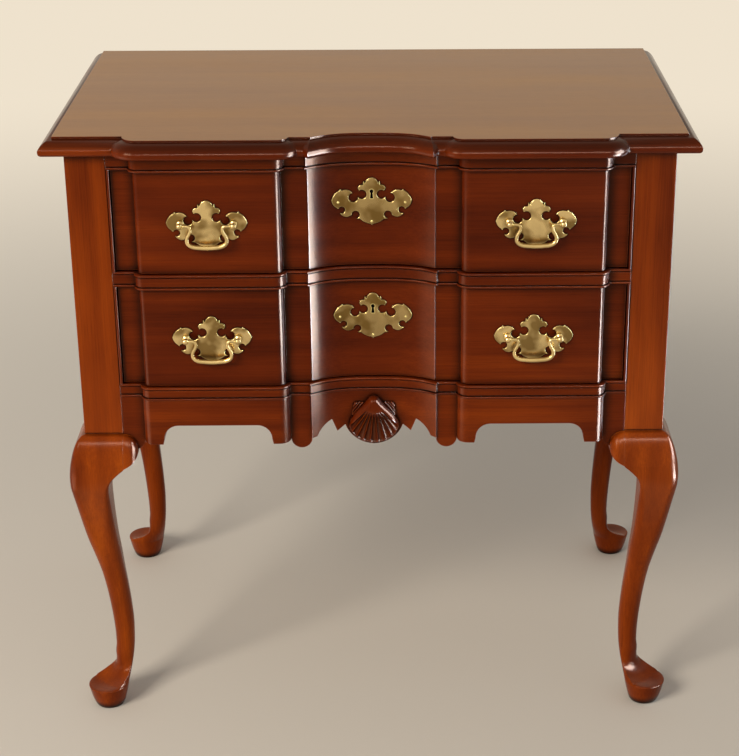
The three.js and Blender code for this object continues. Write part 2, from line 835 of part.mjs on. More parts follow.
// Runner under one end of a drawer, with the guide beside it and the stop at its rear
function runner(level) {
  const bottom = level - runnerThickness;
  const front = railDepth + glueGap;
  const rear = backFront - glueGap;
  const betweenFront = postSize + glueGap;
  const betweenRear = caseDepth - postSize - glueGap;
  const outer = panelInnerX - glueGap;
  const inner = boardHalf - runnerWidth;
  return join(
    board([inner, front, bottom], [boardHalf, rear, level]),
    board([inner, betweenFront, bottom], [outer, betweenRear, level]),
    board([drawerHalf + slideGap, betweenFront, bottom], [outer, betweenRear, level + guideHeight]),
    board([inner, drawerRear + stopGap, bottom], [boardHalf, rear, level + stopHeight]),
  );
}

function addDrawerSupports() {
  for (const [level, height] of [['upper', upperOpening], ['lower', lowerOpening]]) {
    const geometry = runner(height);
    addPiece(`${level}_left_runner`, geometry, insideWood).scale.x = -1;
    addPiece(`${level}_right_runner`, geometry, insideWood);
  }
  const front = railDepth + glueGap;
  const rear = backFront - rearRailThickness - 2 * glueGap;
  const low = [boardHalf - runnerWidth, front, caseTop - topRailHeight];
  const kicker = board(low, [boardHalf, rear, caseTop]);
  addPiece('left_kicker', kicker, insideWood).scale.x = -1;
  addPiece('right_kicker', kicker, insideWood);
}

// Drawers, in their own frame: z = 0 is the level of the rail and the runners below

const drawerPlan = { ...railPlan, endHalf: drawerHalf };
const sideBottom = glueGap;
const sideTop = openingHeight - sideTopDrop;
const backBottom = bottomRaise + drawerBottomThickness + glueGap;
const backTop = openingHeight - backTopDrop;
const backFace = drawerRear - drawerBackThickness;
const sideInnerX = drawerHalf - drawerSideThickness;
const blockFaceY = drawerSetback - blockForward;

// Row of dovetails between two heights, from their roots at y = root to their ends at y = end.
// spare makes them larger, for the sockets that take them.
function dovetails(count, z0, z1, root, end, spare) {
  const pitch = (z1 - z0) / count;
  const tip = end + Math.sign(end - root) * spare;
  const base = root - Math.sign(end - root) * overrun;
  const slope = ((tailEndShare - tailRootShare) * pitch) / (end - root);
  const halfAt = (y) => tailRootShare * pitch + slope * (y - root) + spare;
  const tails = [];
  for (let i = 0; i < count; i += 1) {
    const middle = z0 + pitch * (i + 0.5);
    tails.push(crosswise([
      new THREE.Vector2(base, middle - halfAt(base)),
      new THREE.Vector2(tip, middle - halfAt(tip)),
      new THREE.Vector2(tip, middle + halfAt(tip)),
      new THREE.Vector2(base, middle + halfAt(base)),
    ], sideInnerX - spare, drawerHalf + (spare > 0 ? overrun : 0)));
  }
  return tails;
}

const tailEnd = drawerFrontDepth - tailLength;
const frontTailRow = (spare) =>
  dovetails(frontTails, sideBottom, sideTop, drawerFrontDepth, tailEnd, spare);
const backTailRow = (spare) =>
  dovetails(backTails, backBottom, backTop, backFace, drawerRear, spare);

const grooveLow = bottomRaise - glueGap;
const grooveHigh = bottomRaise + drawerBottomThickness + glueGap;

function drawerSide() {
  const blank = board([sideInnerX, tailEnd, sideBottom], [drawerHalf, drawerRear, sideTop]);
  const beyond = drawerHalf + overrun;
  const inside = sideInnerX - overrun;
  const frontEnd = board(
    [inside, tailEnd - overrun, sideBottom - overrun],
    [beyond, drawerFrontDepth + glueGap, sideTop + overrun],
  );
  const backEnd = board(
    [inside, backFace - glueGap, backBottom - glueGap],
    [beyond, drawerRear + overrun, backTop + glueGap],
  );
  const groove = board(
    [inside, drawerFrontDepth - overrun, grooveLow],
    [sideInnerX + grooveDepth + glueGap, drawerRear + overrun, grooveHigh],
  );
  return cut(blank, cut(frontEnd, ...frontTailRow(0)), cut(backEnd, ...backTailRow(0)), groove);
}

// Cylinder along y between two places, whose flats stand at the radius
function rod(radius, sides, y0, y1, x, z) {
  const reach = radius / Math.cos(Math.PI / sides);
  const geometry = new THREE.CylinderGeometry(reach, reach, y1 - y0, sides);
  return geometry.translate(x, (y0 + y1) / 2, z);
}

const plateMiddle = openingHeight / 2 - plateDrop;
const postLevel = plateMiddle + postRise;
const postPlaces = [-1, 1].flatMap((side) =>
  [-1, 1].map((end) => side * pullReach + (end * postSpacing) / 2));

// Round hole over a slot that widens downward
function keyhole(y0, y1, z) {
  const foot = z - keyholeLength;
  const slot = upright([
    new THREE.Vector2(-keyholeNeckWidth / 2, z),
    new THREE.Vector2(keyholeNeckWidth / 2, z),
    new THREE.Vector2(keyholeFootWidth / 2, foot),
    new THREE.Vector2(-keyholeFootWidth / 2, foot),
  ], y0, y1);
  return join(rod(keyholeRadius, postSides, y0, y1, 0, z), slot);
}

const escutcheonMiddle = openingHeight / 2 + escutcheonRaise;

function drawerFront() {
  const top = openingHeight - revealGap;
  const blank = contourSolid(drawerPlan, -drawerSetback, drawerFrontDepth, revealGap, top);
  const tails = frontTailRow(glueGap);
  const bores = postPlaces.map((x) => rod(
    shankRadius + boreGap,
    postSides,
    blockFaceY - overrun,
    drawerFrontDepth + overrun,
    x,
    postLevel,
  ));
  const groove = board(
    [-sideInnerX - grooveDepth - glueGap, drawerFrontDepth - grooveDepth - glueGap, grooveLow],
    [sideInnerX + grooveDepth + glueGap, drawerFrontDepth + overrun, grooveHigh],
  );
  const centreY = centreRecess + drawerSetback;
  const hole = keyhole(centreY - overrun, centreY + keyholeDepth, escutcheonMiddle + keyholeRaise);
  return cut(blank, ...tails, ...tails.map(mirrorX), ...bores, groove, hole);
}

function drawerBack() {
  const blank = board([-drawerHalf, backFace, backBottom], [drawerHalf, drawerRear, backTop]);
  const tails = backTailRow(glueGap);
  return cut(blank, ...tails, ...tails.map(mirrorX));
}

function drawerBottom() {
  const half = sideInnerX + grooveDepth;
  const front = drawerFrontDepth - grooveDepth;
  return board([-half, front, bottomRaise], [half, drawerRear, bottomRaise + drawerBottomThickness]);
}

// Brasses

function plateOutline() {
  const entries = plateShares.map(([xShare, zShare, bow]) =>
    [(xShare * plateWidth) / 2, (zShare * plateHeight) / 2, bow]);
  const right = bowedLine(entries);
  return [...right, ...mirrored(right).slice(1, -1)];
}

// Pull plate, flat on the block; its own frame starts at the middle of its back
function pullPlate() {
  const blank = upright(plateOutline(), -plateThickness, 0);
  const holes = [-1, 1].map((end) => rod(
    shankRadius + boreGap,
    postSides,
    -plateThickness - overrun,
    overrun,
    (end * postSpacing) / 2,
    postRise,
  ));
  return cut(blank, ...holes);
}

// Escutcheon plate, bent to the concave centre of the drawer front
function escutcheon() {
  const low = -plateHeight;
  const sheetBack = -drawerSetback + glueGap;
  const behind = centreRecess + drawerSetback + overrun;
  const sheet = cut(
    contourSolid(drawerPlan, sheetBack + plateThickness, behind - glueGap, low, -low),
    contourSolid(drawerPlan, sheetBack, behind + overrun, low - overrun, -low + overrun),
  );
  const cutter = upright(plateOutline(), -blockForward, behind);
  const hole = keyhole(-blockForward, behind, keyholeRaise);
  return cut(common(sheet, cutter), hole);
}

const headY = -plateThickness - headStandoff;

// Pull post: ball head, collar on the plate, shank through the drawer front, nut behind it.
// Its frame starts at the plate's back; towardBail is the side of the bail's pin.
function pullPost(towardBail) {
  const collarFront = -plateThickness - glueGap - collarThickness;
  const nutFront = drawerFrontDepth - blockFaceY + 2 * glueGap;
  const nutBack = nutFront + nutThickness;
  const neckAngle = Math.asin(neckRadius / headRadius);
  const profile = [];
  for (let step = 0; step <= ballSteps; step += 1) {
    const angle = ((Math.PI - neckAngle) * step) / ballSteps;
    const r = headRadius * Math.sin(angle);
    profile.push(new THREE.Vector2(r, headY - headRadius * Math.cos(angle)));
  }
  profile.push(
    new THREE.Vector2(neckRadius, collarFront),
    new THREE.Vector2(collarRadius, collarFront),
    new THREE.Vector2(collarRadius, collarFront + collarThickness),
    new THREE.Vector2(shankRadius, collarFront + collarThickness),
    new THREE.Vector2(shankRadius, nutFront),
    new THREE.Vector2(nutRadius, nutFront),
    new THREE.Vector2(nutRadius, nutBack),
    new THREE.Vector2(shankRadius, nutBack),
    new THREE.Vector2(shankRadius, nutBack + threadReach),
    new THREE.Vector2(0, nutBack + threadReach),
  );
  const body = new THREE.LatheGeometry(profile, postSides);
  const reach = (pinRadius + boreGap) / Math.cos(Math.PI / postSides);
  const bore = new THREE.CylinderGeometry(reach, reach, headRadius + overrun, postSides);
  bore.rotateZ(Math.PI / 2);
  bore.translate((towardBail * (headRadius + overrun)) / 2, headY, 0);
  return cut(body, bore);
}

// Bail: a bar bent in a swan-neck curve, thin at its pins and thickest at the grip
function bail() {
  const half = postSpacing / 2 - bailEndGap;
  const right = bailShares.map(([xShare, zShare]) =>
    new THREE.Vector3(half * xShare, 0, bailDrop * zShare));
  const left = right.slice(0, -1).map((point) => new THREE.Vector3(-point.x, 0, point.z)).reverse();
  const path = new THREE.CatmullRomCurve3([...right, ...left], false, 'centripetal');
  const circle = [];
  for (let side = 0; side < bailSides; side += 1) {
    const angle = (2 * Math.PI * side) / bailSides;
    circle.push(new THREE.Vector2(Math.cos(angle), Math.sin(angle)));
  }
  const rings = [];
  for (let step = 0; step <= bailSteps; step += 1) {
    const share = step / bailSteps;
    const middle = path.getPointAt(share);
    const tangent = path.getTangentAt(share);
    const across = new THREE.Vector3(-tangent.z, 0, tangent.x);
    const fromTip = Math.min(share, 1 - share) * 2;
    const neck = THREE.MathUtils.smoothstep(fromTip, neckStartShare, neckEndShare);
    const grip = THREE.MathUtils.smoothstep(fromTip, gripStartShare, 1);
    const radius = pinRadius + (bailNeckRadius - pinRadius) * neck
      + (bailGripRadius - bailNeckRadius) * grip;
    rings.push(circle.map((corner) => middle.clone()
      .addScaledVector(across, corner.x * radius)
      .add(new THREE.Vector3(0, corner.y * radius, 0))));
  }
  return loft(rings, (point, i) => circle[i]);
}

function addDrawers() {
  const side = drawerSide();
  const front = drawerFront();
  const back = drawerBack();
  const bottom = drawerBottom();
  const plate = pullPlate();
  const swing = bail();
  const keyPlate = escutcheon();
  const plateBackY = blockFaceY - glueGap;
  for (const [level, z] of [['upper', upperOpening], ['lower', lowerOpening]]) {
    const place = [0, 0, z];
    addPiece(`${level}_drawer_front`, front, frontWood, place);
    addPiece(`${level}_drawer_left_side`, side, insideWood, place).scale.x = -1;
    addPiece(`${level}_drawer_right_side`, side, insideWood, place);
    addPiece(`${level}_drawer_back`, back, insideWood, place);
    addPiece(`${level}_drawer_bottom`, bottom, insideWood, place);
    addPiece(`${level}_escutcheon`, keyPlate, brass, [0, 0, z + escutcheonMiddle]);
    for (const [hand, sign] of [['left', -1], ['right', 1]]) {
      const x = sign * pullReach;
      addPiece(`${level}_${hand}_pull_plate`, plate, brass, [x, plateBackY, z + plateMiddle]);
      addPiece(`${level}_${hand}_bail`, swing, brass, [x, plateBackY + headY, z + postLevel]);
      for (const [end, way] of [['left', -1], ['right', 1]]) {
        const postPlace = [x + (way * postSpacing) / 2, plateBackY, z + postLevel];
        addPiece(`${level}_${hand}_pull_${end}_post`, pullPost(-way), brass, postPlace);
      }
    }
  }
}

// Assembly

addPiece('top_board', topBoard(), caseWood);
addLegs();
addRails();
addUprightBeads();
addPiece('front_apron', frontApron(), frontWood);
const apronFace = contourSolid(railPlan, glueGap, apronThickness + overrun, 0, overallHeight);
const shellBack = centreRecess + glueGap + shellBacking;
const shellBlank = carvedShell().translate(0, shellBack, apronBottom + shellDrop);
addPiece('carved_shell', cut(shellBlank, apronFace), caseWood);
addPanels();
addDrawerSupports();
addDrawers();

// The part stands with the middle of its overall box over the origin
const extent = new THREE.Box3().setFromObject(lowboy);
const middle = extent.getCenter(new THREE.Vector3());
lowboy.position.set(-middle.x, -middle.y, -extent.min.z);

export default lowboy;
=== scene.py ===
"""Block-front lowboy: the carved, turned and finished pieces over its CAD frame, with a plain stage."""

import json
import math

import bmesh
import bpy
from mathutils import Matrix, Vector, kdtree


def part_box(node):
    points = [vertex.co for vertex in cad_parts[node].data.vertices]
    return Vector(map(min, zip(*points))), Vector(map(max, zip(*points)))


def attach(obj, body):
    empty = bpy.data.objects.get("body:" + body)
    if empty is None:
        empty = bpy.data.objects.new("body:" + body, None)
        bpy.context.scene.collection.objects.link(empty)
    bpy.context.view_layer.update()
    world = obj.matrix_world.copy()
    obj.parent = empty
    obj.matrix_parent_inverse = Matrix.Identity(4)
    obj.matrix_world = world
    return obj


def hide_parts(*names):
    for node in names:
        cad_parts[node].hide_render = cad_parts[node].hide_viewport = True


bl_info = {
    "name": "Block-front lowboy",
    "version": (1, 0, 0),
    "blender": (4, 5, 0),
    "location": "3D View > Sidebar > Lowboy",
    "description": "Makes the wood and brass pieces of a block-front lowboy around its CAD frame",
    "category": "Object",
}

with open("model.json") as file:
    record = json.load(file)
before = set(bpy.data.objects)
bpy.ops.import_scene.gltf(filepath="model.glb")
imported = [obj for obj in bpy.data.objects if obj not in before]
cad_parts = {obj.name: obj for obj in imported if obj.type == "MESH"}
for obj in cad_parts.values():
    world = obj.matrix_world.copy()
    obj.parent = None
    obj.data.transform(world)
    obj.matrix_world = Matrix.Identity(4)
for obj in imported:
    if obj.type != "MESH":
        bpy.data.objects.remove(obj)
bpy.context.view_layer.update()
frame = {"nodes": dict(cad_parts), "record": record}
record = frame["record"]
BODY_OF = {node: body for body, nodes in record["behaviour"]["bodies"].items() for node in nodes}
SLOT_OF = {entry["node"]: entry["material_slot"] for entry in record["subparts"]}

# Lengths in the tables below are in millimetres; meshes are in metres.
MM = 0.001
WELD = 1e-6
SOLID_WELD = 5e-6
QUARTER_TURN = math.pi / 2
FULL_TURN = 2 * math.pi

# Clearances, thicknesses and bores shared with the solids, and how far cutters reach past them
GLUE_GAP = 0.3
RAIL_DEPTH = 40
REVEAL = 1
POST_SIZE = 48
POST_HALF = POST_SIZE / 2
DRAWER_FRONT_DEPTH = 34
DRAWER_SIDE_THICKNESS = 11
POST_BORE_RADIUS = 2.55
POST_BORE_SIDES = 16
CUTTER_MARGIN = 6

# Names of the pieces that repeat, with one for right and front, minus one for left and rear
LEVELS = ("upper", "lower")
HANDS = (("left", -1), ("right", 1))
ENDS = (("front", 1), ("rear", -1))
PULLS = tuple((level, *hand) for level in LEVELS for hand in HANDS)
LEGS = tuple((*end, *hand) for end in ENDS for hand in HANDS)

# Places read from the solids, in millimetres
FRONT_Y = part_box("top_rail")[1].y / MM - RAIL_DEPTH
HALF_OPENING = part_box("top_rail")[1].x / MM + GLUE_GAP
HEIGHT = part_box("top_board")[1].z / MM
CASE_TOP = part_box("top_rail")[1].z / MM
CASE_WIDTH = 2 * (HALF_OPENING + POST_SIZE)
APRON_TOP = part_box("front_apron")[1].z / MM + GLUE_GAP
OPENING = {level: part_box(f"{level}_drawer_front")[0].z / MM - REVEAL for level in LEVELS}
OPENING_HEIGHT = 127
FLAT_END_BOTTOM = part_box("right_side_panel")[0].z / MM
CASE_DEPTH = 428

# How far the flat ends reach below the knee line, as a share of its height
FLAT_END_REACH = 0.0542
KNEE_HEIGHT = FLAT_END_BOTTOM / (1 - FLAT_END_REACH)

# Block-front plan from the middle outward: x places, and how far forward each part stands
RAIL_PLAN = {
    "centre": -16,
    "lip": 3,
    "channel": 0,
    "block": 14,
    "end": 0,
    "concave": HALF_OPENING * 0.2468,
    "inner": HALF_OPENING * 0.3301,
    "inner_face": HALF_OPENING * 0.3301 + 15,
    "outer_face": HALF_OPENING * 0.9135 - 11,
    "outer": HALF_OPENING * 0.9135,
    "half": HALF_OPENING - GLUE_GAP,
}
TOP_PLAN = {
    "centre": -7,
    "lip": 12,
    "channel": 10,
    "block": 22.5,
    "end": 3,
    "concave": RAIL_PLAN["concave"] - 7,
    "inner": RAIL_PLAN["inner"] - 7,
    "inner_face": RAIL_PLAN["inner"] + 6,
    "outer_face": RAIL_PLAN["outer"] - 13,
    "outer": RAIL_PLAN["outer"] + 5,
    "half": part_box("top_board")[1].x / MM - 15,
}
DRAWER_PLAN = {**RAIL_PLAN, "half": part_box("upper_drawer_front")[1].x / MM}
LIP_RUN = 1.5
BOW_STEPS = 18
CORNER_STEPS = 9

# Edge of the top from the surface down: share of the overhang, share of the thickness
TOP_THICKNESS = 21
TOP_OVERHANG = 15
TOP_EDGE = (
    (0, 0), (0, 0.1), (0.09, 0.13), (0.4, 0.2), (0.68, 0.34), (0.88, 0.5), (1, 0.68), (0.98, 0.84),
    (0.86, 0.96), (0.74, 1),
)
TOP_EDGE_STEPS = 3

# Bead and its quirk, from the edge of the rail inward: distance from the edge, how far it stands out
BEAD_EDGE = (
    (0, 0.7), (0.35, 1.25), (1, 1.62), (1.65, 1.7), (2.3, 1.55), (2.75, 1.05), (2.9, 0.1),
    (2.95, -1), (3.85, -1), (3.95, 0),
)
UPRIGHT_BEAD_ROUNDING = 0.42

# Leg by height: share of the knee height; reach of the outer and inner faces from the post's middle as
# shares of the post; how round the outer corner and the others are; turn of the outer corner's arc as a
# share of a quarter turn, and how far that arc bulges from its chord
LEG = (
    (0, 0.735, -0.005, 1, 1, 1.82, 1),
    (0.003, 0.755, 0.013, 1, 1, 1.82, 1),
    (0.0102, 0.787, 0.04, 1, 1, 1.82, 1),
    (0.0356, 0.856, 0.098, 1, 1, 1.82, 1),
    (0.0611, 0.905, 0.146, 1, 1, 1.82, 1),
    (0.0705, 0.922, 0.161, 1, 1, 1.82, 1),
    (0.0735, 0.927, 0.164, 1, 1, 1.82, 1),
    (0.076, 0.918, 0.167, 1, 1, 1.82, 1),
    (0.0772, 0.895, 0.168, 1, 1, 1.82, 0.97),
    (0.0815, 0.868, 0.177, 1, 1, 1.86, 0.1),
    (0.0891, 0.775, 0.188, 1, 1, 2.05, 0.06),
    (0.1005, 0.655, 0.208, 1, 1, 2.28, 0.14),
    (0.1145, 0.51, 0.232, 1, 1, 2.45, 0.28),
    (0.1298, 0.405, 0.256, 1, 1, 2.55, 0.42),
    (0.1501, 0.29, 0.284, 1, 1, 2.45, 0.66),
    (0.1756, 0.205, 0.312, 1, 1, 1.89, 0.92),
    (0.201, 0.17, 0.332, 1, 1, 1.29, 1),
    (0.2417, 0.174, 0.348, 1, 1, 1, 1),
    (0.28, 0.187, 0.354, 0.92, 0.92, 1, 1),
    (0.35, 0.235, 0.331, 0.92, 0.92, 1, 1),
    (0.42, 0.3, 0.288, 0.9, 0.88, 1, 1),
    (0.49, 0.39, 0.233, 0.86, 0.8, 1, 1),
    (0.56, 0.52, 0.187, 0.8, 0.72, 1, 1),
    (0.625, 0.645, 0.135, 0.72, 0.64, 1, 1),
    (0.69, 0.744, 0.098, 0.64, 0.54, 1, 1),
    (0.755, 0.835, 0.07, 0.56, 0.42, 1, 1),
    (0.8, 0.898, 0.057, 0.5, 0.3, 1, 1),
    (0.829, 0.932, 0.075, 0.45, 0.2, 1, 1),
    (0.851, 0.938, 0.14, 0.42, 0.12, 1, 1),
    (0.869, 0.935, 0.262, 0.39, 0.07, 1, 1),
    (0.885, 0.925, 0.4, 0.37, 0.04, 1, 1),
    (0.897, 0.914, 0.5, 0.35, 0.02, 1, 1),
    (0.926, 0.865, 0.5, 0.3, 0.02, 1, 1),
    (0.96, 0.782, 0.5, 0.22, 0.02, 1, 1),
    (0.983, 0.69, 0.5, 0.14, 0.02, 1, 1),
    (0.996, 0.59, 0.5, 0.08, 0.02, 1, 1),
)
POST_ARRIS = 0.04

# How the knee closes in on the post: share of the knee height, reach as a share of the post
KNEE_TOP = ((0.996, 0.59), (0.9985, 0.53), (1, 0.5), (1.002, 0.488))

# Fine raised line at the foot of the post: share of the knee height, how far it stands out
KNEE_ARRIS = ((1.0035, 0.1), (1.0045, 0.5), (1.0065, 0.5), (1.008, 0))
LEG_STEPS = 4
LEG_CORNER_STEPS = 8
TOE_STEPS = 20

# Hollow of the foot above its rim: height, depth
FOOT_HOLLOW = (
    (0, 0), (29.8, 0), (30.3, 0.3), (32, 3.6), (38, 3.2), (48, 1.6), (59, 0), (400, 0),
)

# Knee block from the leg outward: share of its reach, its lower edge as a share of the knee height,
# and how much of the knee's swell it keeps
KNEE_REACH = 17.5
KNEE_DEPTH = 20
KNEE_TIP = 0.955
KNEE_SWELL_START = 0.885
KNEE_SWELL_END = (1, 0.5, 0.5, 0.05, 0.05, 1, 1)
KNEE_BLOCK = (
    (0, 0.897, 1),
    (0.3, 0.905, 0.99),
    (0.58, 0.913, 0.9),
    (0.8, 0.922, 0.7),
    (0.94, 0.932, 0.44),
    (1, 0.94, 0.2),
)
KNEE_BLOCK_STEPS = 8
KNEE_FACE_STEPS = 28

# Lower edge of the apron from the right post to the middle: x, depth, and the bow of the next side
QUARTER_BOW = math.sqrt(2) - 1
APRON_THICKNESS = 27
APRON_DEPTH = 73.5
APRON_EDGE = (
    (HALF_OPENING, 72, 0),
    (RAIL_PLAN["outer"] + 13.5, 72, QUARTER_BOW),
    (RAIL_PLAN["outer"], 58.5, 0),
    (RAIL_PLAN["outer_face"], 59.5, 0),
    (RAIL_PLAN["outer_face"] - 13, 59.5, 0),
    (RAIL_PLAN["outer_face"] - 14.5, 52.5, -QUARTER_BOW),
    (RAIL_PLAN["outer_face"] - 32.5, 34, 0),
    (RAIL_PLAN["inner_face"] + 26, 34, -QUARTER_BOW),
    (RAIL_PLAN["inner_face"] + 8, 52.5, 0),
    (RAIL_PLAN["inner_face"] + 6.5, 59.5, 0),
    (RAIL_PLAN["inner"] + 3.5, 59.5, 0),
    (RAIL_PLAN["inner"], 58.5, 1),
    (RAIL_PLAN["concave"], 57.5, 0),
    (RAIL_PLAN["concave"] - 6.5, 56.5, -0.2),
    (52.5, 37, 0),
    (46, 54, 0),
    (36, 46, 0.32),
    (0, APRON_DEPTH, 0),
)
ARC_STEPS = 20

# Outline of the shell round its focus: degrees from straight down, reach in millimetres
SHELL_FOCUS = 430
SHELL_EDGE = (
    (0, 56.3), (15, 55.2), (30, 51.5), (40, 47), (46, 43.3), (50, 38), (54, 32.2), (63.4, 20.1),
    (75, 13.3), (90, 10), (120, 8), (150, 7.6), (180, 7.5),
)
SHELL_FLUTE_STEPS = 12
SHELL_CROWN_STEPS = 80
SHELL_RINGS = 40
SHELL_EDGE_SAMPLES = 360
SHELL_BACK_RINGS = (0.3, 1)
SHELL_CUTTER_HEIGHTS = (340, 480)

# The flutes' fan and the start of the broad bands beside it, in degrees from straight down
SHELL_FAN = 45
SHELL_BAND_START = (SHELL_FAN - 1, SHELL_FAN + 4)

# Face of the shell: height at the rim, width of the rounded shoulder, and how the dome falls outward
SHELL_RIM = 2.6
SHELL_SHOULDER = 3.4
SHELL_FALL = 0.42
SHELL_FALL_POWER = 1.6

# Where the flutes deepen: distances from the focus and from the rim, from nothing to their whole depth
FLUTE_START = (11, 23)
FLUTE_END = (0.4, 3)
FLUTE_ROUNDNESS = 0.7
FLUTE_DEPTH_AT_FOCUS = 0.55

# Ridges of the shell's ears, on the right: the ends of each in x and z
SHELL_EARS = (
    ((13.5, 428), (26.5, 411.5)),
    ((17.5, 428.5), (26.5, 417)),
    ((21.3, 428.5), (25.8, 422.5)),
)
EAR_RIDGE = ((0, 0.5), (0.25, 1.35), (0.6, 1.6), (0.9, 1.2), (1, 0.5))
EAR_RIDGE_STAND = 2.4

# Ground under the ridges of the right ear: x and z. It stands a little before the apron's face, as that
# is at the ear's middle, and reaches a little behind it.
EAR_GROUND = ((14.5, 427.5), (24.5, 427.5), (25.8, 420), (27.5, 411), (18, 413), (12, 421))
EAR_MIDDLE = 20
EAR_GROUND_STAND = 2
EAR_GROUND_SINK = 0.6

# Right half of the pierced plate from its top: shares of the half width and half height, and bow
PLATE_WIDTH = 95
PLATE_HEIGHT = 60
PLATE_THICKNESS = 1.6
PLATE_EDGE = (
    (0, 1, 0.26), (0.14, 0.857, 0.1), (0.166, 0.757, 0), (0.202, 0.85, 0), (0.219, 0.69, 0.45),
    (0.345, 0.57, 0.2), (0.307, 0.458, -2.36), (0.345, 0.2, -2.36), (0.486, 0.36, 0.1),
    (0.56, 0.465, 0.12), (0.652, 0.51, 0.1), (0.755, 0.48, 0), (0.79, 0.53, 0), (0.81, 0.49, 0.22),
    (1.01, 0.1, 0.12), (0.955, -0.12, 0.1), (0.84, -0.27, -2.4), (0.795, -0.46, 0.25),
    (0.64, -0.63, 0.2), (0.507, -0.54, -2.2), (0.395, -0.7, -0.1), (0.301, -0.73, 0.15),
    (0.06, -0.92, -0.1), (0, -0.97, 0),
)
PLATE_ARC_STEPS = 12

# Section of the plate's bevel from the back: share of the bevel's width, share of the thickness
PLATE_BEVEL = ((0, 0), (0, 0.45), (0.2, 0.78), (0.55, 0.95), (1, 1))
PLATE_BEVEL_TRIES = 12
PLATE_BEVEL_ROOM = 0.98
PLATE_EDGE_SAMPLES = 4
PLATE_STRIPS = 24

# Places of the brasses on a drawer front, from the level of its opening
PULL_REACH = HALF_OPENING * 0.625
PLATE_MIDDLE = OPENING_HEIGHT / 2 - 1.2
POST_RAISE = 1
POST_LEVEL = PLATE_MIDDLE + POST_RAISE
POST_SPACING = 63.5
ESCUTCHEON_MIDDLE = OPENING_HEIGHT / 2 + 17
DRAWER_SETBACK = 4
BLOCK_FACE = RAIL_PLAN["block"] - DRAWER_SETBACK
HEAD_STANDOFF = PLATE_THICKNESS + 8.5
KEYHOLE_RADIUS = 2.4
KEYHOLE_RAISE = 13
KEYHOLE_LENGTH = 9
KEYHOLE_NECK = 1.2
KEYHOLE_FOOT = 2
KEYHOLE_DEPTH = 12
KEYHOLE_STEPS = 20
PLATE_CUT_REACH = 20

# Pins of an escutcheon: x and z from its middle
ESCUTCHEON_PINS = ((-40, 0), (40, 0), (0, -24.5))
PIN_RADIUS = 1.3
PIN_FLATNESS = 0.55
PIN_SINK = 0.1

# Groove for the drawer's bottom in the drawer front, from the level of the opening
GROOVE_FRONT = 28.7
GROOVE_LOW = 9.7
GROOVE_HIGH = 16.3
GROOVE_REACH = 5.3

# Sockets for the tails of a drawer's side: shares of the pitch that half a tail fills, at the back of
# the drawer front and at the tail's end
TAIL_COUNT = 4
TAIL_END_DEPTH = 16
TAIL_ROOT_SHARE = 0.27
TAIL_END_SHARE = 0.36
DRAWER_SIDE_SHORTFALL = 3

# Pull post from its head back: how far forward of the plate's back, and radius
POST_PROFILE = (
    (HEAD_STANDOFF + 4, 0),
    (HEAD_STANDOFF + 3.9, 0.8),
    (HEAD_STANDOFF + 3.5, 1.9),
    (HEAD_STANDOFF + 2.7, 2.95),
    (HEAD_STANDOFF + 1.5, 3.7),
    (HEAD_STANDOFF, 4),
    (HEAD_STANDOFF - 1.5, 3.7),
    (HEAD_STANDOFF - 2.6, 3.05),
    (HEAD_STANDOFF - 3.2, 2.5),
    (HEAD_STANDOFF - 4, 2.25),
    (4.4, 2.3),
    (3.9, 2.9),
    (3.5, 3.9),
    (3, 4.35),
    (2.3, 4.4),
    (1.9, 4.2),
    (1.9, 2.2),
    (-50, 2.2),
    (-50.4, 1.8),
    (-50.4, 0),
)
POST_STEPS = 24
NUT_BACK = 46.6
NUT_RADIUS = 5.5
NUT_THICKNESS = 3.5

# Right half of the bail from its pin to the middle of the grip: share of half the post spacing, share of
# the drop, and the bar's radius
BAIL_DROP = 27
BAIL_PLAY = 0.8
BAIL = (
    (0.985, 0, 1.45), (0.9, 0, 1.5), (0.78, 0, 1.6), (0.68, -0.02, 1.8), (0.625, -0.09, 1.95),
    (0.612, -0.2, 2), (0.66, -0.35, 2.05), (0.74, -0.52, 2.1), (0.765, -0.67, 2.2),
    (0.715, -0.83, 2.4), (0.56, -0.94, 2.6), (0.3, -0.985, 2.75), (0, -1, 2.8),
)


def colour_setting(name, description, default):
    return bpy.props.FloatVectorProperty(
        name=name, description=description, subtype="COLOR", size=3, min=0, max=1, default=default,
    )


def length_setting(name, description, low, high, default):
    return bpy.props.FloatProperty(
        name=name, description=description, subtype="DISTANCE", unit="LENGTH", min=low, max=high,
        default=default,
    )


def power_setting(name, description, default):
    return bpy.props.FloatProperty(
        name=name, description=description, subtype="POWER", unit="POWER", min=0, max=500,
        default=default,
    )


class LowboyTimber(bpy.types.PropertyGroup):
    """Colours and softness of the wood"""

    case_colour: colour_setting(
        "Case", "Middle tone of the posts, legs and sides", (0.2, 0.029, 0.0016),
    )
    front_colour: colour_setting(
        "Front", "Middle tone of the drawer fronts, rails, apron and the top's edge",
        (0.113, 0.0132, 0.001),
    )
    top_colour: colour_setting(
        "Top", "Middle tone of the top's surface, browned by light", (0.275, 0.108, 0.02),
    )
    inside_colour: colour_setting(
        "Inside", "Middle tone of the unfinished wood inside", (0.56, 0.38, 0.2),
    )
    edge_softness: length_setting(
        "Edge softness", "Width of the eased edges of the top, legs, apron and drawer fronts",
        0, 0.003, 0.0007,
    )
    board_softness: length_setting(
        "Board softness", "Width of the eased edges of the rails and flat boards", 0, 0.003, 0.0004,
    )


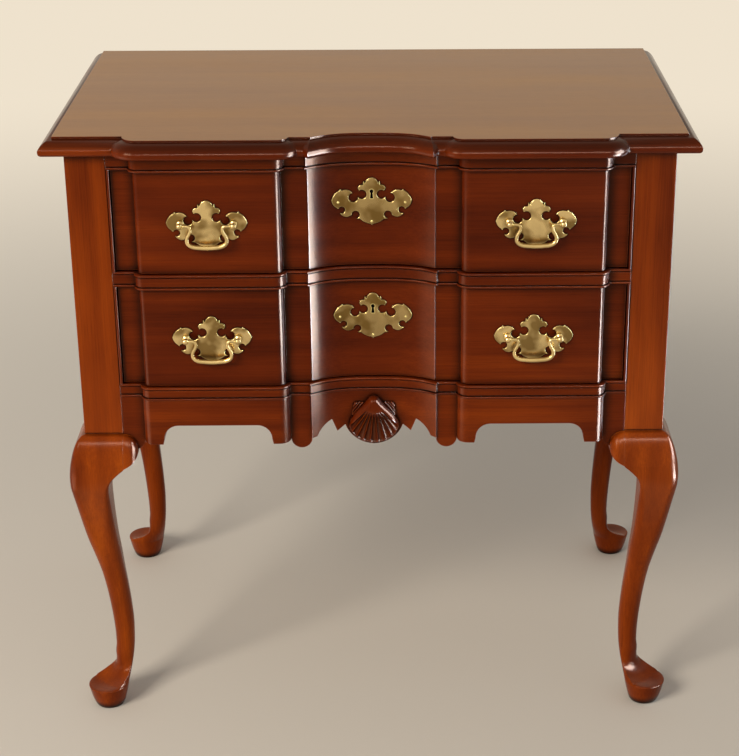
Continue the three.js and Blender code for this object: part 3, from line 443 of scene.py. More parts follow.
class LowboyCarving(bpy.types.PropertyGroup):
    """Sizes of the carved shell"""

    flutes: bpy.props.IntProperty(
        name="Flutes", description="Number of flutes in the shell's fan", min=5, max=15, default=9,
    )
    rise: length_setting("Rise", "How far the shell stands off the apron", 0.004, 0.02, 0.0125)
    flute_depth: length_setting(
        "Flute depth", "Depth of the hollows between the ridges", 0, 0.005, 0.0036,
    )


class LowboyBrass(bpy.types.PropertyGroup):
    """Colours and edges of the brasses"""

    brass_colour: colour_setting("Brass", "Bright tone of the brasses", (0.8, 0.6, 0.28))
    patina_colour: colour_setting(
        "Patina", "Tone of the brasses where they have darkened", (0.2, 0.12, 0.034),
    )
    plate_bevel: length_setting(
        "Plate bevel", "Width of the bright bevel round the plates", 0.0001, 0.0015, 0.0012,
    )


class LowboyStage(bpy.types.PropertyGroup):
    """Floor, backdrop and lamps"""

    floor_colour: colour_setting("Floor", "Colour of the floor", (0.64, 0.58, 0.5))
    backdrop_colour: colour_setting(
        "Backdrop", "Colour seen behind the lowboy and in its gloss", (0.86, 0.76, 0.61),
    )
    ambient: bpy.props.FloatProperty(
        name="Ambient", description="Strength of the light from all round", min=0, max=2, default=0.42,
    )
    window_power: power_setting("Window lamp", "Power of the tall cool lamp on the right", 300)
    low_power: power_setting(
        "Low lamp", "Power of the cool lamp at floor level that shows in the gloss", 285,
    )
    glow_power: power_setting("Glow lamp", "Power of the warm sheen from the floor in front", 4)
    lip_power: power_setting(
        "Lip lamp", "Power of the long lamp that shows along lips and beads", 80,
    )
    left_power: power_setting("Left lamp", "Power of the faint sheen from the floor on the left", 11)
    key_power: power_setting("Key lamp", "Power of the warm lamp in front", 120)


def metres(x, forward, z):
    """A point given in millimetres: x, how far it stands before the posts' front, and height."""
    return Vector((x * MM, (FRONT_Y - forward) * MM, z * MM))


def slopes(xs, ys):
    """Slopes at the points of a curve that never overshoots them."""
    steps = [(y1 - y0) / (x1 - x0) for x0, x1, y0, y1 in zip(xs, xs[1:], ys, ys[1:])]
    inner = [0 if a * b <= 0 else 2 * a * b / (a + b) for a, b in zip(steps, steps[1:])]
    return [steps[0], *inner, steps[-1]]


def reader(table, by_row=False):
    """Returns a function that reads the table's other columns at a value of its first one, or at a row
    number, along smooth curves."""
    xs = list(range(len(table))) if by_row else [row[0] for row in table]
    columns = list(zip(*table)) if by_row else list(zip(*table))[1:]
    bends = [slopes(xs, column) for column in columns]

    def read(x):
        i = max(k for k in range(len(xs) - 1) if xs[k] <= x or k == 0)
        run = xs[i + 1] - xs[i]
        t = min(max((x - xs[i]) / run, 0), 1)
        near, far = (1 + 2 * t) * (1 - t) ** 2, t * t * (3 - 2 * t)
        near_bend, far_bend = run * t * (1 - t) ** 2, run * t * t * (t - 1)
        return [
            near * c[i] + far * c[i + 1] + near_bend * b[i] + far_bend * b[i + 1]
            for c, b in zip(columns, bends)
        ]

    return read


def spread(start, end, steps):
    """Evenly spaced numbers from start to end, both included."""
    return [start + (end - start) * step / steps for step in range(steps + 1)]


def steps_through(table, steps):
    """Values of a table's first column from its first row to its last, evenly spaced between rows."""
    values = []
    for low, high in zip(table, table[1:]):
        values += spread(low[0], high[0], steps)[:-1]
    return [*values, table[-1][0]]


def mirrored(points):
    """The left half's points, in reverse order, from those of the right half."""
    return [Vector((-point.x, point.y)) for point in reversed(points)]


def contour(plan):
    """Left to right points of a block front seen from above: x and how far forward, in millimetres."""
    half = []
    for share in spread(0, 1, BOW_STEPS)[1:]:
        bow = plan["centre"] + (plan["lip"] - plan["centre"]) * share ** 3
        half.append(Vector((plan["concave"] * share, bow)))
    half.append(Vector((plan["concave"] + LIP_RUN, plan["channel"])))
    for angle in spread(0, QUARTER_TURN, CORNER_STEPS):
        x = plan["inner"] + (plan["inner_face"] - plan["inner"]) * (1 - math.cos(angle))
        rise = (plan["block"] - plan["channel"]) * math.sin(angle)
        half.append(Vector((x, plan["channel"] + rise)))
    for angle in spread(0, QUARTER_TURN, CORNER_STEPS):
        x = plan["outer_face"] + (plan["outer"] - plan["outer_face"]) * math.sin(angle)
        rise = (plan["block"] - plan["end"]) * math.cos(angle)
        half.append(Vector((x, plan["end"] + rise)))
    half.append(Vector((plan["half"], plan["end"])))
    return [*mirrored(half), Vector((0, plan["centre"])), *half]


def rest_on_flat(points, corner, step, level):
    """Moves the points of a rounded corner that have sunk below the flat beside it onto that flat,
    spread from the corner's first point to where the rounding leaves it."""
    leaving = corner + step
    while points[leaving].y < level:
        leaving += step
    sunk = abs(leaving - corner) - 1
    if sunk:
        below, above = points[leaving - step], points[leaving]
        end = below.lerp(above, (level - below.y) / (above.y - below.y))
        for i in range(1, sunk + 1):
            points[corner + step * i] = points[corner].lerp(end, i / sunk)


def offset(plan, distance):
    """The plan's contour moved forward by a distance, with mitred corners."""
    points = contour(plan)
    sides = [(b - a).normalized() for a, b in zip(points, points[1:])]
    normals = [Vector((-side.y, side.x)) for side in sides]
    moved = []
    for i, point in enumerate(points):
        before, after = normals[max(i - 1, 0)], normals[min(i, len(normals) - 1)]
        mitre = (before + after).normalized()
        moved.append(point + mitre * (distance / mitre.dot(after)))
    middle = len(points) // 2
    rest_on_flat(moved, middle + BOW_STEPS + 2, 1, plan["channel"] + distance)
    rest_on_flat(moved, len(points) - 2, -1, plan["end"] + distance)
    right = moved[middle + 1:]
    return [*mirrored(right), moved[middle], *right]


def forward_at(x):
    """How far forward the concave centre of the rails and the apron stands at x."""
    share = min(abs(x) / RAIL_PLAN["concave"], 1)
    return RAIL_PLAN["centre"] + (RAIL_PLAN["lip"] - RAIL_PLAN["centre"]) * share ** 3


def bowed_line(entries, steps):
    """Points of a line whose sides may bow into arcs; a bow of one is a half circle."""
    points = []
    for (x, z, bow), (next_x, next_z, _) in zip(entries, entries[1:]):
        start, end = Vector((x, z)), Vector((next_x, next_z))
        points.append(start)
        if not bow:
            continue
        chord = end - start
        left = Vector((-chord.y, chord.x))
        centre = start.lerp(end, 0.5) - left * ((1 - bow * bow) / (4 * bow))
        turn = -4 * math.atan(bow)
        count = max(3, round(steps * abs(turn) / math.pi))
        arm = start - centre
        for angle in spread(0, turn, count)[1:-1]:
            points.append(centre + Matrix.Rotation(angle, 2) @ arm)
    points.append(Vector(entries[-1][:2]))
    return points


def both_halves(right):
    """Adds the left half of a line whose right half ends on the middle."""
    return [*right, *mirrored(right[:-1])]


def distance_from(points):
    """Returns a function that gives a place's distance from the nearest of the points."""
    tree = kdtree.KDTree(len(points))
    for i, point in enumerate(points):
        tree.insert(point.to_3d(), i)
    tree.balance()
    return lambda place: tree.find(place.to_3d())[2]


def add_loop(bm, points):
    """A closed line of edges through the points."""
    verts = [bm.verts.new(point) for point in points]
    return [bm.edges.new(pair) for pair in zip(verts, verts[1:] + verts[:1])]


def skin(bm, rings):
    """Bridges a row of closed rings and fills both ends."""
    loops = [add_loop(bm, ring) for ring in rings]
    for near, far in zip(loops, loops[1:]):
        bmesh.ops.bridge_loops(bm, edges=near + far)
    for end in (loops[0], loops[-1]):
        bmesh.ops.edgeloop_fill(bm, edges=end)


def contour_ring(points, back, z, half):
    """Ring with the block contour in front and a straight back, given in millimetres."""
    ring = [metres(point.x, point.y, z) for point in points]
    return [*ring, metres(half, -back, z), metres(-half, -back, z)]


def contour_solid(plan, distance, back, low, high):
    """Upright solid whose front is the plan's contour, moved forward by a distance."""
    bm = bmesh.new()
    points = offset(plan, distance)
    skin(bm, [contour_ring(points, back, z, plan["half"]) for z in (low, high)])
    return bm


def upright_solid(points, forward, back):
    """A flat outline in x and z, given in millimetres, from one depth to another."""
    bm = bmesh.new()
    skin(bm, [[metres(p.x, depth, p.y) for p in points] for depth in (forward, back)])
    return bm


def add_block(bm, low, high):
    """A squared block between two corners in millimetres: x, forward, z."""
    a, b = metres(*low), metres(*high)
    size = Vector((abs(p) for p in (b - a)))
    place = Matrix.Translation((a + b) / 2) @ Matrix.Diagonal((*size, 1))
    return bmesh.ops.create_cube(bm, size=1, matrix=place)["verts"]


def add_bore(bm, forward, back, x, z):
    """A round cutter for a pull post's bore, from the front to the back."""
    radius = POST_BORE_RADIUS * MM
    place = Matrix.Translation(metres(x, (forward + back) / 2, z))
    place @= Matrix.Rotation(QUARTER_TURN, 4, "X")
    bmesh.ops.create_cone(
        bm, cap_ends=True, segments=POST_BORE_SIDES, radius1=radius, radius2=radius,
        depth=(forward - back) * MM, matrix=place,
    )


def tidy(bm):
    """Merges doubles and turns every face outward."""
    bmesh.ops.remove_doubles(bm, verts=bm.verts, dist=WELD)
    bmesh.ops.recalc_face_normals(bm, faces=bm.faces)


def placed(name, data):
    """A linked object that holds some data."""
    holder = bpy.data.objects.new(name, data)
    bpy.context.scene.collection.objects.link(holder)
    return holder


def meshed(name, bm):
    """A linked object made from a bmesh, which is freed."""
    mesh = bpy.data.meshes.new(name)
    bm.to_mesh(mesh)
    bm.free()
    return placed(name, mesh)


def shaped(piece):
    """The piece as its modifiers or its curve shape it, as a bmesh."""
    bpy.context.view_layer.update()
    result = piece.evaluated_get(bpy.context.evaluated_depsgraph_get())
    bm = bmesh.new()
    bm.from_mesh(result.to_mesh())
    result.to_mesh_clear()
    return bm


def worked(bm, tools, operation="DIFFERENCE"):
    """Cuts a solid with others, joins them or keeps what they share, and returns the result."""
    tidy(bm)
    piece = meshed("blank", bm)
    cutters = []
    for tool in tools:
        tidy(tool)
        cutters.append(meshed("tool", tool))
        step = piece.modifiers.new("cut", "BOOLEAN")
        step.operation = operation
        step.solver = "EXACT"
        step.object = cutters[-1]
    result = shaped(piece)
    for done in (piece, *cutters):
        mesh = done.data
        bpy.data.objects.remove(done)
        bpy.data.meshes.remove(mesh)
    return result


def add_piece(bm, node, material, eased=None, smooth=35):
    """Finishes a piece: normals, shading, eased edges and its body; by its slot it joins the lacquered
    pieces, and it hides the node it stands for.
    eased says which of the wood's softnesses its edges have; smooth is the angle in degrees from which
    edges stay sharp."""
    tidy(bm)
    piece = meshed(f"finished_{node}", bm)
    mesh = piece.data
    mesh.materials.append(material)
    mesh.shade_smooth()
    mesh.set_sharp_from_angle(angle=math.radians(smooth))
    softness = getattr(bpy.context.scene.lowboy_timber, f"{eased}_softness") if eased else 0
    if softness:
        easing = piece.modifiers.new("eased edges", "BEVEL")
        easing.width = softness
        easing.segments = 2
        easing.limit_method = "ANGLE"
        easing.angle_limit = math.radians(smooth)
        easing.harden_normals = True
    if SLOT_OF[node] in ("case_wood", "front_wood") and not node.startswith("rear"):
        lacquered().objects.link(piece)
    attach(piece, BODY_OF[node])
    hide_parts(node)


def add_board(node, material):
    """Finishes a board whose shape is its CAD node's, merged and with its flat faces made whole."""
    flat = math.radians(0.5)
    bm = bmesh.new()
    bm.from_mesh(frame["nodes"][node].data)
    bmesh.ops.remove_doubles(bm, verts=bm.verts, dist=SOLID_WELD)
    bmesh.ops.dissolve_limit(bm, angle_limit=flat, verts=bm.verts, edges=bm.edges)
    add_piece(bm, node, material, "board")


# Materials


def feed(tree, node, values):
    """Sets a node's inputs, by name or number, to constants, or links them to other nodes' outputs."""
    for key, value in values.items():
        if isinstance(value, bpy.types.NodeSocket):
            tree.links.new(value, node.inputs[key])
        else:
            node.inputs[key].default_value = value


def add_node(tree, kind, values=None, **settings):
    """A shader node with its settings and its inputs."""
    node = tree.nodes.new(f"ShaderNode{kind}")
    for key, value in settings.items():
        setattr(node, key, value)
    feed(tree, node, values or {})
    return node


def ramp(tree, source, stops):
    """A colour ramp over a value; stops are (place, colour or level of grey)."""
    node = add_node(tree, "ValToRGB", {"Fac": source})
    band = node.color_ramp
    while len(band.elements) < len(stops):
        band.elements.new(0.5)
    for element, (place, colour) in zip(band.elements, stops):
        element.position = place
        element.color = (*colour, 1) if isinstance(colour, tuple) else (colour, colour, colour, 1)
    return node.outputs["Color"]


def mixed(tree, one, other, share=1, blend="MIX"):
    """Two colours mixed by a share, or blended."""
    values = {"Factor": share, "A": one, "B": other}
    return add_node(tree, "Mix", values, data_type="RGBA", blend_type=blend).outputs["Result"]


def noise(tree, place, scale, detail, roughness=0.5):
    """A cloudy value between nought and one."""
    values = {"Vector": place, "Scale": scale, "Detail": detail, "Roughness": roughness}
    return add_node(tree, "TexNoise", values).outputs["Fac"]


def openness(tree, reach, inside=False):
    """One where no face is within reach, less in hollows; inside looks from within, for edges."""
    node = add_node(tree, "AmbientOcclusion", {"Distance": reach}, samples=8, inside=inside)
    return node.outputs["AO"]


def new_material(name):
    """A material with its node tree and its shader."""
    material = bpy.data.materials.new(name)
    material.use_nodes = True
    return material, material.node_tree, material.node_tree.nodes["Principled BSDF"]


def scaled(colour, share):
    """A colour made lighter or darker; the green follows more strongly, so that dark wood is redder and
    light wood more orange."""
    red, green, blue = colour
    return (min(red * share, 1), min(green * share ** 1.35, 1), min(blue * share, 1))


# Layers of the grain, from clouds to pores: scale along it and across it, detail, roughness
GRAIN_LAYERS = (
    ((3.4, 13, 13), 3, 0.5),
    ((0.9, 62, 62), 3, 0.55),
    ((7, 560, 560), 3, 0.6),
    ((44, 1900, 1900), 2, 0.5),
)
BAND_SHARE = 0.26
RING_SHARE = 0.07
STREAK_SHARE = 0.2
RING_SCALE = (0.07, 1, 1)
RINGS = {"Scale": 9, "Distortion": 7, "Detail": 3, "Detail Scale": 1.2, "Detail Roughness": 0.55}

# Pores: tone of their bottoms, how much of it shows, and their depth in metres
PORE_TONES = ((0.33, 0.66), (0.47, 1))
PORE_SHARE = 0.5
PORE_DEPTH = 0.0004

# Finishes: shades are places in the grain's pattern and shares of the colour, relief that of the pores
LACQUERED = {
    "shades": ((0.34, 0.5), (0.46, 0.86), (0.55, 1.14), (0.67, 1.75)),
    "roughness": (0.16, 0.25),
    "specular": 0.1,
    "relief": 0.08,
}
BARE = {
    "shades": ((0.34, 0.84), (0.46, 0.96), (0.55, 1.04), (0.67, 1.16)),
    "roughness": (0.6, 0.78),
    "specular": 0.3,
    "relief": 0.35,
}

# Faces that look up, by the upward part of their normal: the painted shade on the shoulder, darker the
# more it looks up, then the second colour
SHOULDER_SHADE = ((0.3, 1), (0.75, 0.45))
UPPER = ((0.985, 0), (0.999, 1))
UPPER_SHADES = ((0.32, 0.84), (0.68, 1.16))

# Lacquer by openness: tone of the painted shade that darkens the hollows where shade falls, share of
# paler wood on edges, partly for wear and partly a painted highlight, and weight of the coat on edges,
# with how far hollows and edges are felt in metres
HOLLOW_SHADE_REACH = 0.013
HOLLOW_SHADE = ((0.34, 0.03), (0.66, 0.32), (0.95, 1))
EDGE_REACH = 0.0016
EDGE_WEAR_AND_HIGHLIGHT = ((0.4, 0.75), (0.78, 0))
WORN_AND_HIGHLIGHT_LIGHTNESS = 2
EDGE_COAT = ((0.4, 0.6), (0.8, 0.085))
COAT_ROUGHNESS = 0.21
GLOSS_TINT = (1, 0.5, 0.22, 1)

# Brass by kind: shares of its bright tone between which it is clouded
BRASS_TONES = {"bright": (0.7, 1), "brown": (0.08, 0.8), "browner": (0, 0.34)}
BRASS_CLOUD_SCALE = 38
BRASS_ROUGHNESS = ((0.3, 0.34), (0.7, 0.22))
BRASS_WAVES = {"Strength": 0.5, "Distance": 0.0014}
SCRATCH_SCALE = 900
SCRATCHES = {"Strength": 0.06, "Distance": 0.0003}

# Edges made paler, partly as rubbed brass and partly as a painted highlight, and dark crevices of the
# brass, by openness, and how far each is felt in metres
RUBBED_AND_HIGHLIGHT_REACH = 0.0013
RUBBED_AND_HIGHLIGHT = ((0.5, 1), (0.96, 0))
RUBBED_AND_HIGHLIGHT_LIGHTNESS = 1.3
CREVICE_REACH = 0.004
CREVICES = ((0.25, 0.22), (0.8, 1))

GRAIN_TURN = {"x": (0, 0, 0), "y": (0, 0, -QUARTER_TURN), "z": (0, QUARTER_TURN, 0)}
made = {}


def wood_pattern(tree, grain, seed):
    """Grain along one axis: its clouds, its pores, and the pattern that its tones follow."""
    place = add_node(tree, "TexCoord").outputs["Object"]
    turned = add_node(tree, "Mapping", {"Vector": place, "Rotation": GRAIN_TURN[grain]})
    shift = (0.37 * seed, 0.113 + 0.021 * seed, 0.067 - 0.013 * seed)
    board = add_node(tree, "Mapping", {"Vector": turned.outputs["Vector"], "Location": shift})

    def stretched(scale):
        values = {"Vector": board.outputs["Vector"], "Scale": scale}
        return add_node(tree, "Mapping", values).outputs["Vector"]

    clouds, bands, streaks, pores = [
        noise(tree, stretched(scale), 1, detail, rough) for scale, detail, rough in GRAIN_LAYERS
    ]
    values = {"Vector": stretched(RING_SCALE), **RINGS}
    rings = add_node(tree, "TexWave", values, wave_type="RINGS", rings_direction="X")
    pattern = mixed(tree, clouds, bands, BAND_SHARE)
    pattern = mixed(tree, pattern, rings.outputs["Fac"], RING_SHARE)
    return clouds, pores, mixed(tree, pattern, streaks, STREAK_SHARE)


def toned(tree, pattern, colour, shades):
    """A colour in lighter and darker shades that follow a pattern."""
    return ramp(tree, pattern, [(place, scaled(colour, share)) for place, share in shades])


def lacquer_with_painted_light(tree, shader, tones, colour):
    """Painted shade that darkens the hollows, edges made paler partly for wear and partly as a painted
    highlight, and a coat that shines most along those edges.
    """
    # Painted shade: the hollows are darkened where shade falls in them.
    hollow_shade = ramp(tree, openness(tree, HOLLOW_SHADE_REACH), HOLLOW_SHADE)
    edge = openness(tree, EDGE_REACH, inside=True)
    feed(tree, shader, {
        "Specular Tint": GLOSS_TINT,
        "Coat Weight": ramp(tree, edge, EDGE_COAT),
        "Coat Roughness": COAT_ROUGHNESS,
    })
    hollows_shaded = mixed(tree, tones, hollow_shade, blend="MULTIPLY")
    # Edges made paler, partly for wear and partly as a painted highlight along them.
    return mixed(tree, hollows_shaded, (*scaled(colour, WORN_AND_HIGHLIGHT_LIGHTNESS), 1), ramp(tree, edge, EDGE_WEAR_AND_HIGHLIGHT))


def wood(kind, colour, grain, seed, finish=LACQUERED, upper=None):
    """Wood whose grain runs along one axis, lacquered or bare. upper is a second colour, for faces that
    look up, with a painted shade darkening the shoulder before it."""
    name = f"{kind}_{grain}_{seed}"
    if name in made:
        return made[name]
    made[name], tree, shader = new_material(name)
    clouds, pores, pattern = wood_pattern(tree, grain, seed)
    tones = toned(tree, pattern, colour, finish["shades"])
    if upper:
        normal = add_node(tree, "TexCoord").outputs["Normal"]
        facing = add_node(tree, "SeparateXYZ", {"Vector": normal}).outputs["Z"]
        # Painted shade: the moulding's shoulder is darkened by how far it looks up.
        tones = mixed(tree, tones, ramp(tree, facing, SHOULDER_SHADE), blend="MULTIPLY")
        over = toned(tree, pattern, upper, UPPER_SHADES)
        tones = mixed(tree, tones, over, ramp(tree, facing, UPPER))
    tones = mixed(tree, tones, ramp(tree, pores, PORE_TONES), PORE_SHARE, "MULTIPLY")
    if finish is LACQUERED:
        tones = lacquer_with_painted_light(tree, shader, tones, colour)
    values = {"Height": pores, "Strength": finish["relief"], "Distance": PORE_DEPTH}
    smoothest, roughest = finish["roughness"]
    feed(tree, shader, {
        "Base Color": tones,
        "Roughness": ramp(tree, clouds, ((0.3, smoothest), (0.7, roughest))),
        "Specular IOR Level": finish["specular"],
        "Normal": add_node(tree, "Bump", values).outputs["Normal"],
    })
    return made[name]


def case_wood(grain, seed):
    return wood("case_cherry", bpy.context.scene.lowboy_timber.case_colour, grain, seed)


def top_wood(grain, seed):
    timber = bpy.context.scene.lowboy_timber
    return wood("top_cherry", timber.front_colour, grain, seed, upper=timber.top_colour)


def front_wood(grain, seed):
    return wood("front_cherry", bpy.context.scene.lowboy_timber.front_colour, grain, seed)


def inside_wood(grain, seed):
    colour = bpy.context.scene.lowboy_timber.inside_colour
    return wood("inside_poplar", colour, grain, seed, BARE)


def brass(kind):
    """Brass that has browned, with polished edges made paler partly for rubbing and partly as a painted
    highlight: bright where hands rub it, else brown or browner.
    """
    name = f"{kind}_brass"
    if name in made:
        return made[name]
    made[name], tree, shader = new_material(name)
    colours = bpy.context.scene.lowboy_brass
    bright = tuple(colours.brass_colour)
    shades = [
        tuple(a + (b - a) * share for a, b in zip(colours.patina_colour, bright))
        for share in BRASS_TONES[kind]
    ]
    place = add_node(tree, "TexCoord").outputs["Object"]
    clouds = noise(tree, place, BRASS_CLOUD_SCALE, 2)
    tones = ramp(tree, clouds, ((0.4, shades[0]), (0.58, shades[1])))
    # Edges made paler, partly for rubbing and partly as a painted highlight along them.
    rubbed_and_highlight = ramp(tree, openness(tree, RUBBED_AND_HIGHLIGHT_REACH, inside=True), RUBBED_AND_HIGHLIGHT)
    tones = mixed(tree, tones, (*scaled(bright, RUBBED_AND_HIGHLIGHT_LIGHTNESS), 1), rubbed_and_highlight)
    crevices = ramp(tree, openness(tree, CREVICE_REACH), CREVICES)
    normal = add_node(tree, "Bump", {"Height": clouds, **BRASS_WAVES}).outputs["Normal"]
    fine = noise(tree, place, SCRATCH_SCALE, 2)
    values = {"Height": fine, "Normal": normal, **SCRATCHES}
    feed(tree, shader, {
        "Base Color": mixed(tree, tones, crevices, blend="MULTIPLY"),
        "Roughness": ramp(tree, clouds, BRASS_ROUGHNESS),
        "Metallic": 1,
        "Normal": add_node(tree, "Bump", values).outputs["Normal"],
    })
    return made[name]


# Pieces


class LOWBOY_OT_top_board(bpy.types.Operator):
    """Makes the top board with its moulded edge"""

    bl_idname = "lowboy.top_board"
    bl_label = "Top board"

    def execute(self, context):
        surface = contour(TOP_PLAN)
        lip = offset(TOP_PLAN, TOP_OVERHANG)
        lip[0].x = -TOP_PLAN["half"] - TOP_OVERHANG
        lip[-1].x = TOP_PLAN["half"] + TOP_OVERHANG
        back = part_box("top_board")[1].y / MM - FRONT_Y
        profile = reader(TOP_EDGE, by_row=True)
        rings = []
        for row in spread(0, len(TOP_EDGE) - 1, (len(TOP_EDGE) - 1) * TOP_EDGE_STEPS):
            out, drop = profile(row)
            points = [point.lerp(edge, out) for point, edge in zip(surface, lip)]
            half = TOP_PLAN["half"] + TOP_OVERHANG * out
            rings.append(contour_ring(points, back, HEIGHT - TOP_THICKNESS * drop, half))
        bm = bmesh.new()
        skin(bm, rings)
        add_piece(bm, "top_board", top_wood("x", 1), "edge")
        return {"FINISHED"}


def leg_ring(outer, inner, shape, z, dip=0):
    """Rounded square in the leg's own frame, whose outer corner points right and forward. shape is the
    last four columns of the leg's table; dip lowers the middle of the outer corner's arc."""
    outer_round, other_round, turn_share, bulge = shape
    half, middle = (outer + inner) / 2, (outer - inner) / 2
    toe_turn = QUARTER_TURN * turn_share
    other_turn = (FULL_TURN - toe_turn) / 3
    start = (toe_turn - QUARTER_TURN) / 2
    points = []
    for corner in range(4):
        is_toe = corner == 3
        turn, steps = (toe_turn, TOE_STEPS) if is_toe else (other_turn, LEG_CORNER_STEPS)
        radius = half * (outer_round if is_toe else other_round)
        x = middle + (half - radius) * (1 if corner in (0, 3) else -1)
        y = -middle + (half - radius) * (1 if corner < 2 else -1)
        arc = [
            Vector((x + radius * math.cos(angle), y + radius * math.sin(angle), z))
            for angle in spread(start, start + turn, steps)
        ]
        if is_toe:
            for step, share in enumerate(spread(0, 1, steps)[1:-1], 1):
                arc[step] = arc[0].lerp(arc[-1], share).lerp(arc[step], bulge)
                arc[step].z -= dip * math.sin(math.pi * share)
        points += [point * MM for point in arc]
        start += turn
    return points


def leg_shape():
    """One leg with its post, in the leg's own frame."""
    profile = reader(LEG)
    hollow = reader(FOOT_HOLLOW)
    rings = []
    for share in steps_through(LEG, LEG_STEPS)[:-1]:
        outer, inner, *shape = profile(share)
        z = share * KNEE_HEIGHT
        rings.append(leg_ring(outer * POST_SIZE, inner * POST_SIZE, shape, z, hollow(z)[0]))
    square = (POST_ARRIS, POST_ARRIS, 1, 1)
    for share, half in KNEE_TOP:
        inner = POST_SIZE * min(half, 0.5)
        rings.append(leg_ring(POST_SIZE * half, inner, square, share * KNEE_HEIGHT))
    for share, stand in KNEE_ARRIS:
        rings.append(leg_ring(POST_HALF + stand, POST_HALF, square, share * KNEE_HEIGHT))
    rings.append(leg_ring(POST_HALF, POST_HALF, square, CASE_TOP))
    bm = bmesh.new()
    skin(bm, rings)
    return bm


def knee_block_shape():
    """Block beside the knee, in the leg's own frame, reaching left with its face forward."""
    lowest = KNEE_BLOCK[0][1]
    knee = reader((*[row for row in LEG if row[0] >= KNEE_SWELL_START], KNEE_SWELL_END))
    profile = reader(KNEE_BLOCK)
    under = FLAT_END_BOTTOM - GLUE_GAP
    face, inside = -POST_HALF, KNEE_DEPTH - POST_HALF
    rings = []
    for reach in steps_through(KNEE_BLOCK, KNEE_BLOCK_STEPS):
        bottom_share, bulge = profile(reach)
        x = -POST_HALF - (KNEE_REACH + GLUE_GAP) * reach
        bottom = bottom_share * KNEE_HEIGHT
        round_over = 1 - math.sqrt(max(0, 1 - reach ** 2))
        top = (1 + (KNEE_TIP - 1) * round_over) * KNEE_HEIGHT - GLUE_GAP
        ring = []
        for share in spread(1, lowest, KNEE_FACE_STEPS):
            z = top + (bottom - top) * (1 - share) / (1 - lowest)
            swell = knee(share)[0] * POST_SIZE - POST_HALF
            ring.append((x, face - max(swell * bulge, GLUE_GAP), z))
        ring += [(x, inside, bottom), (x, inside, under), (x, face, under)]
        rings.append([Vector(corner) * MM for corner in ring])
    bm = bmesh.new()
    skin(bm, rings)
    return bm


def leg_place(side, facing):
    """Where a leg's own frame stands in the whole; side and facing are one or minus one."""
    x = side * (CASE_WIDTH / 2 - POST_HALF)
    back = POST_HALF if facing > 0 else CASE_DEPTH - POST_HALF
    return Matrix.Translation(metres(x, -back, 0))


class LOWBOY_OT_legs(bpy.types.Operator):
    """Makes the four cabriole legs with their posts"""

    bl_idname = "lowboy.legs"
    bl_label = "Cabriole legs"

    def execute(self, context):
        for seed, (end, facing, hand, side) in enumerate(LEGS):
            bm = leg_shape()
            bmesh.ops.scale(bm, vec=(side, facing, 1), verts=bm.verts)
            bm.transform(leg_place(side, facing))
            add_piece(bm, f"{end}_{hand}_leg", case_wood("z", seed), "edge", smooth=45)
        return {"FINISHED"}


class LOWBOY_OT_knee_blocks(bpy.types.Operator):
    """Makes the knee blocks beside the legs"""

    bl_idname = "lowboy.knee_blocks"
    bl_label = "Knee blocks"

    def execute(self, context):
        for seed, (end, facing, hand, side) in enumerate(LEGS):
            timber = case_wood("z", seed)
            flank = knee_block_shape()
            bmesh.ops.scale(flank, vec=(-side * facing, 1, 1), verts=flank.verts)
            turn = Matrix.Rotation(side * QUARTER_TURN, 4, "Z")
            flank.transform(leg_place(side, facing) @ turn)
            add_piece(flank, f"{end}_{hand}_side_knee_block", timber, smooth=50)
            if end == "front":
                face = knee_block_shape()
                bmesh.ops.scale(face, vec=(side, 1, 1), verts=face.verts)
                face.transform(leg_place(side, facing))
                add_piece(face, f"front_{hand}_front_knee_block", timber, smooth=50)
        return {"FINISHED"}


class LOWBOY_OT_rails(bpy.types.Operator):
    """Makes the three front rails with their beads"""

    bl_idname = "lowboy.rails"
    bl_label = "Front rails"

    def execute(self, context):
        for seed, (name, beaded_top) in enumerate((("top", False), ("middle", True), ("bottom", True))):
            low, high = (corner.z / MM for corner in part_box(f"{name}_rail"))
            levels = [(low + run, proud) for run, proud in BEAD_EDGE]
            if beaded_top:
                levels += [(high - run, proud) for run, proud in reversed(BEAD_EDGE)]
            else:
                levels.append((high, 0))
            bm = bmesh.new()
            skin(bm, [
                contour_ring(offset(RAIL_PLAN, proud), RAIL_DEPTH, z, RAIL_PLAN["half"])
                for z, proud in levels
            ])
            add_piece(bm, f"{name}_rail", front_wood("x", seed), "board", smooth=40)
        return {"FINISHED"}


class LOWBOY_OT_upright_beads(bpy.types.Operator):
    """Makes the four upright beads beside the drawers"""

    bl_idname = "lowboy.upright_beads"
    bl_label = "Upright beads"

    def execute(self, context):
        for level, hand, _ in PULLS:
            node = f"{level}_{hand}_bead"
            low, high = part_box(node)
            bm = bmesh.new()
            place = Matrix.Translation((low + high) / 2) @ Matrix.Diagonal((*(high - low), 1))
            bmesh.ops.create_cube(bm, size=1, matrix=place)
            front = [
                edge for edge in bm.edges
                if all(abs(vert.co.y - low.y) < WELD for vert in edge.verts)
                and abs(edge.verts[0].co.z - edge.verts[1].co.z) > WELD
            ]
            bmesh.ops.bevel(
                bm, geom=front, offset=(high.x - low.x) * UPRIGHT_BEAD_ROUNDING, segments=5,
                profile=0.5, affect="EDGES", material=-1,
            )
            add_piece(bm, node, front_wood("z", 3), smooth=40)
        return {"FINISHED"}


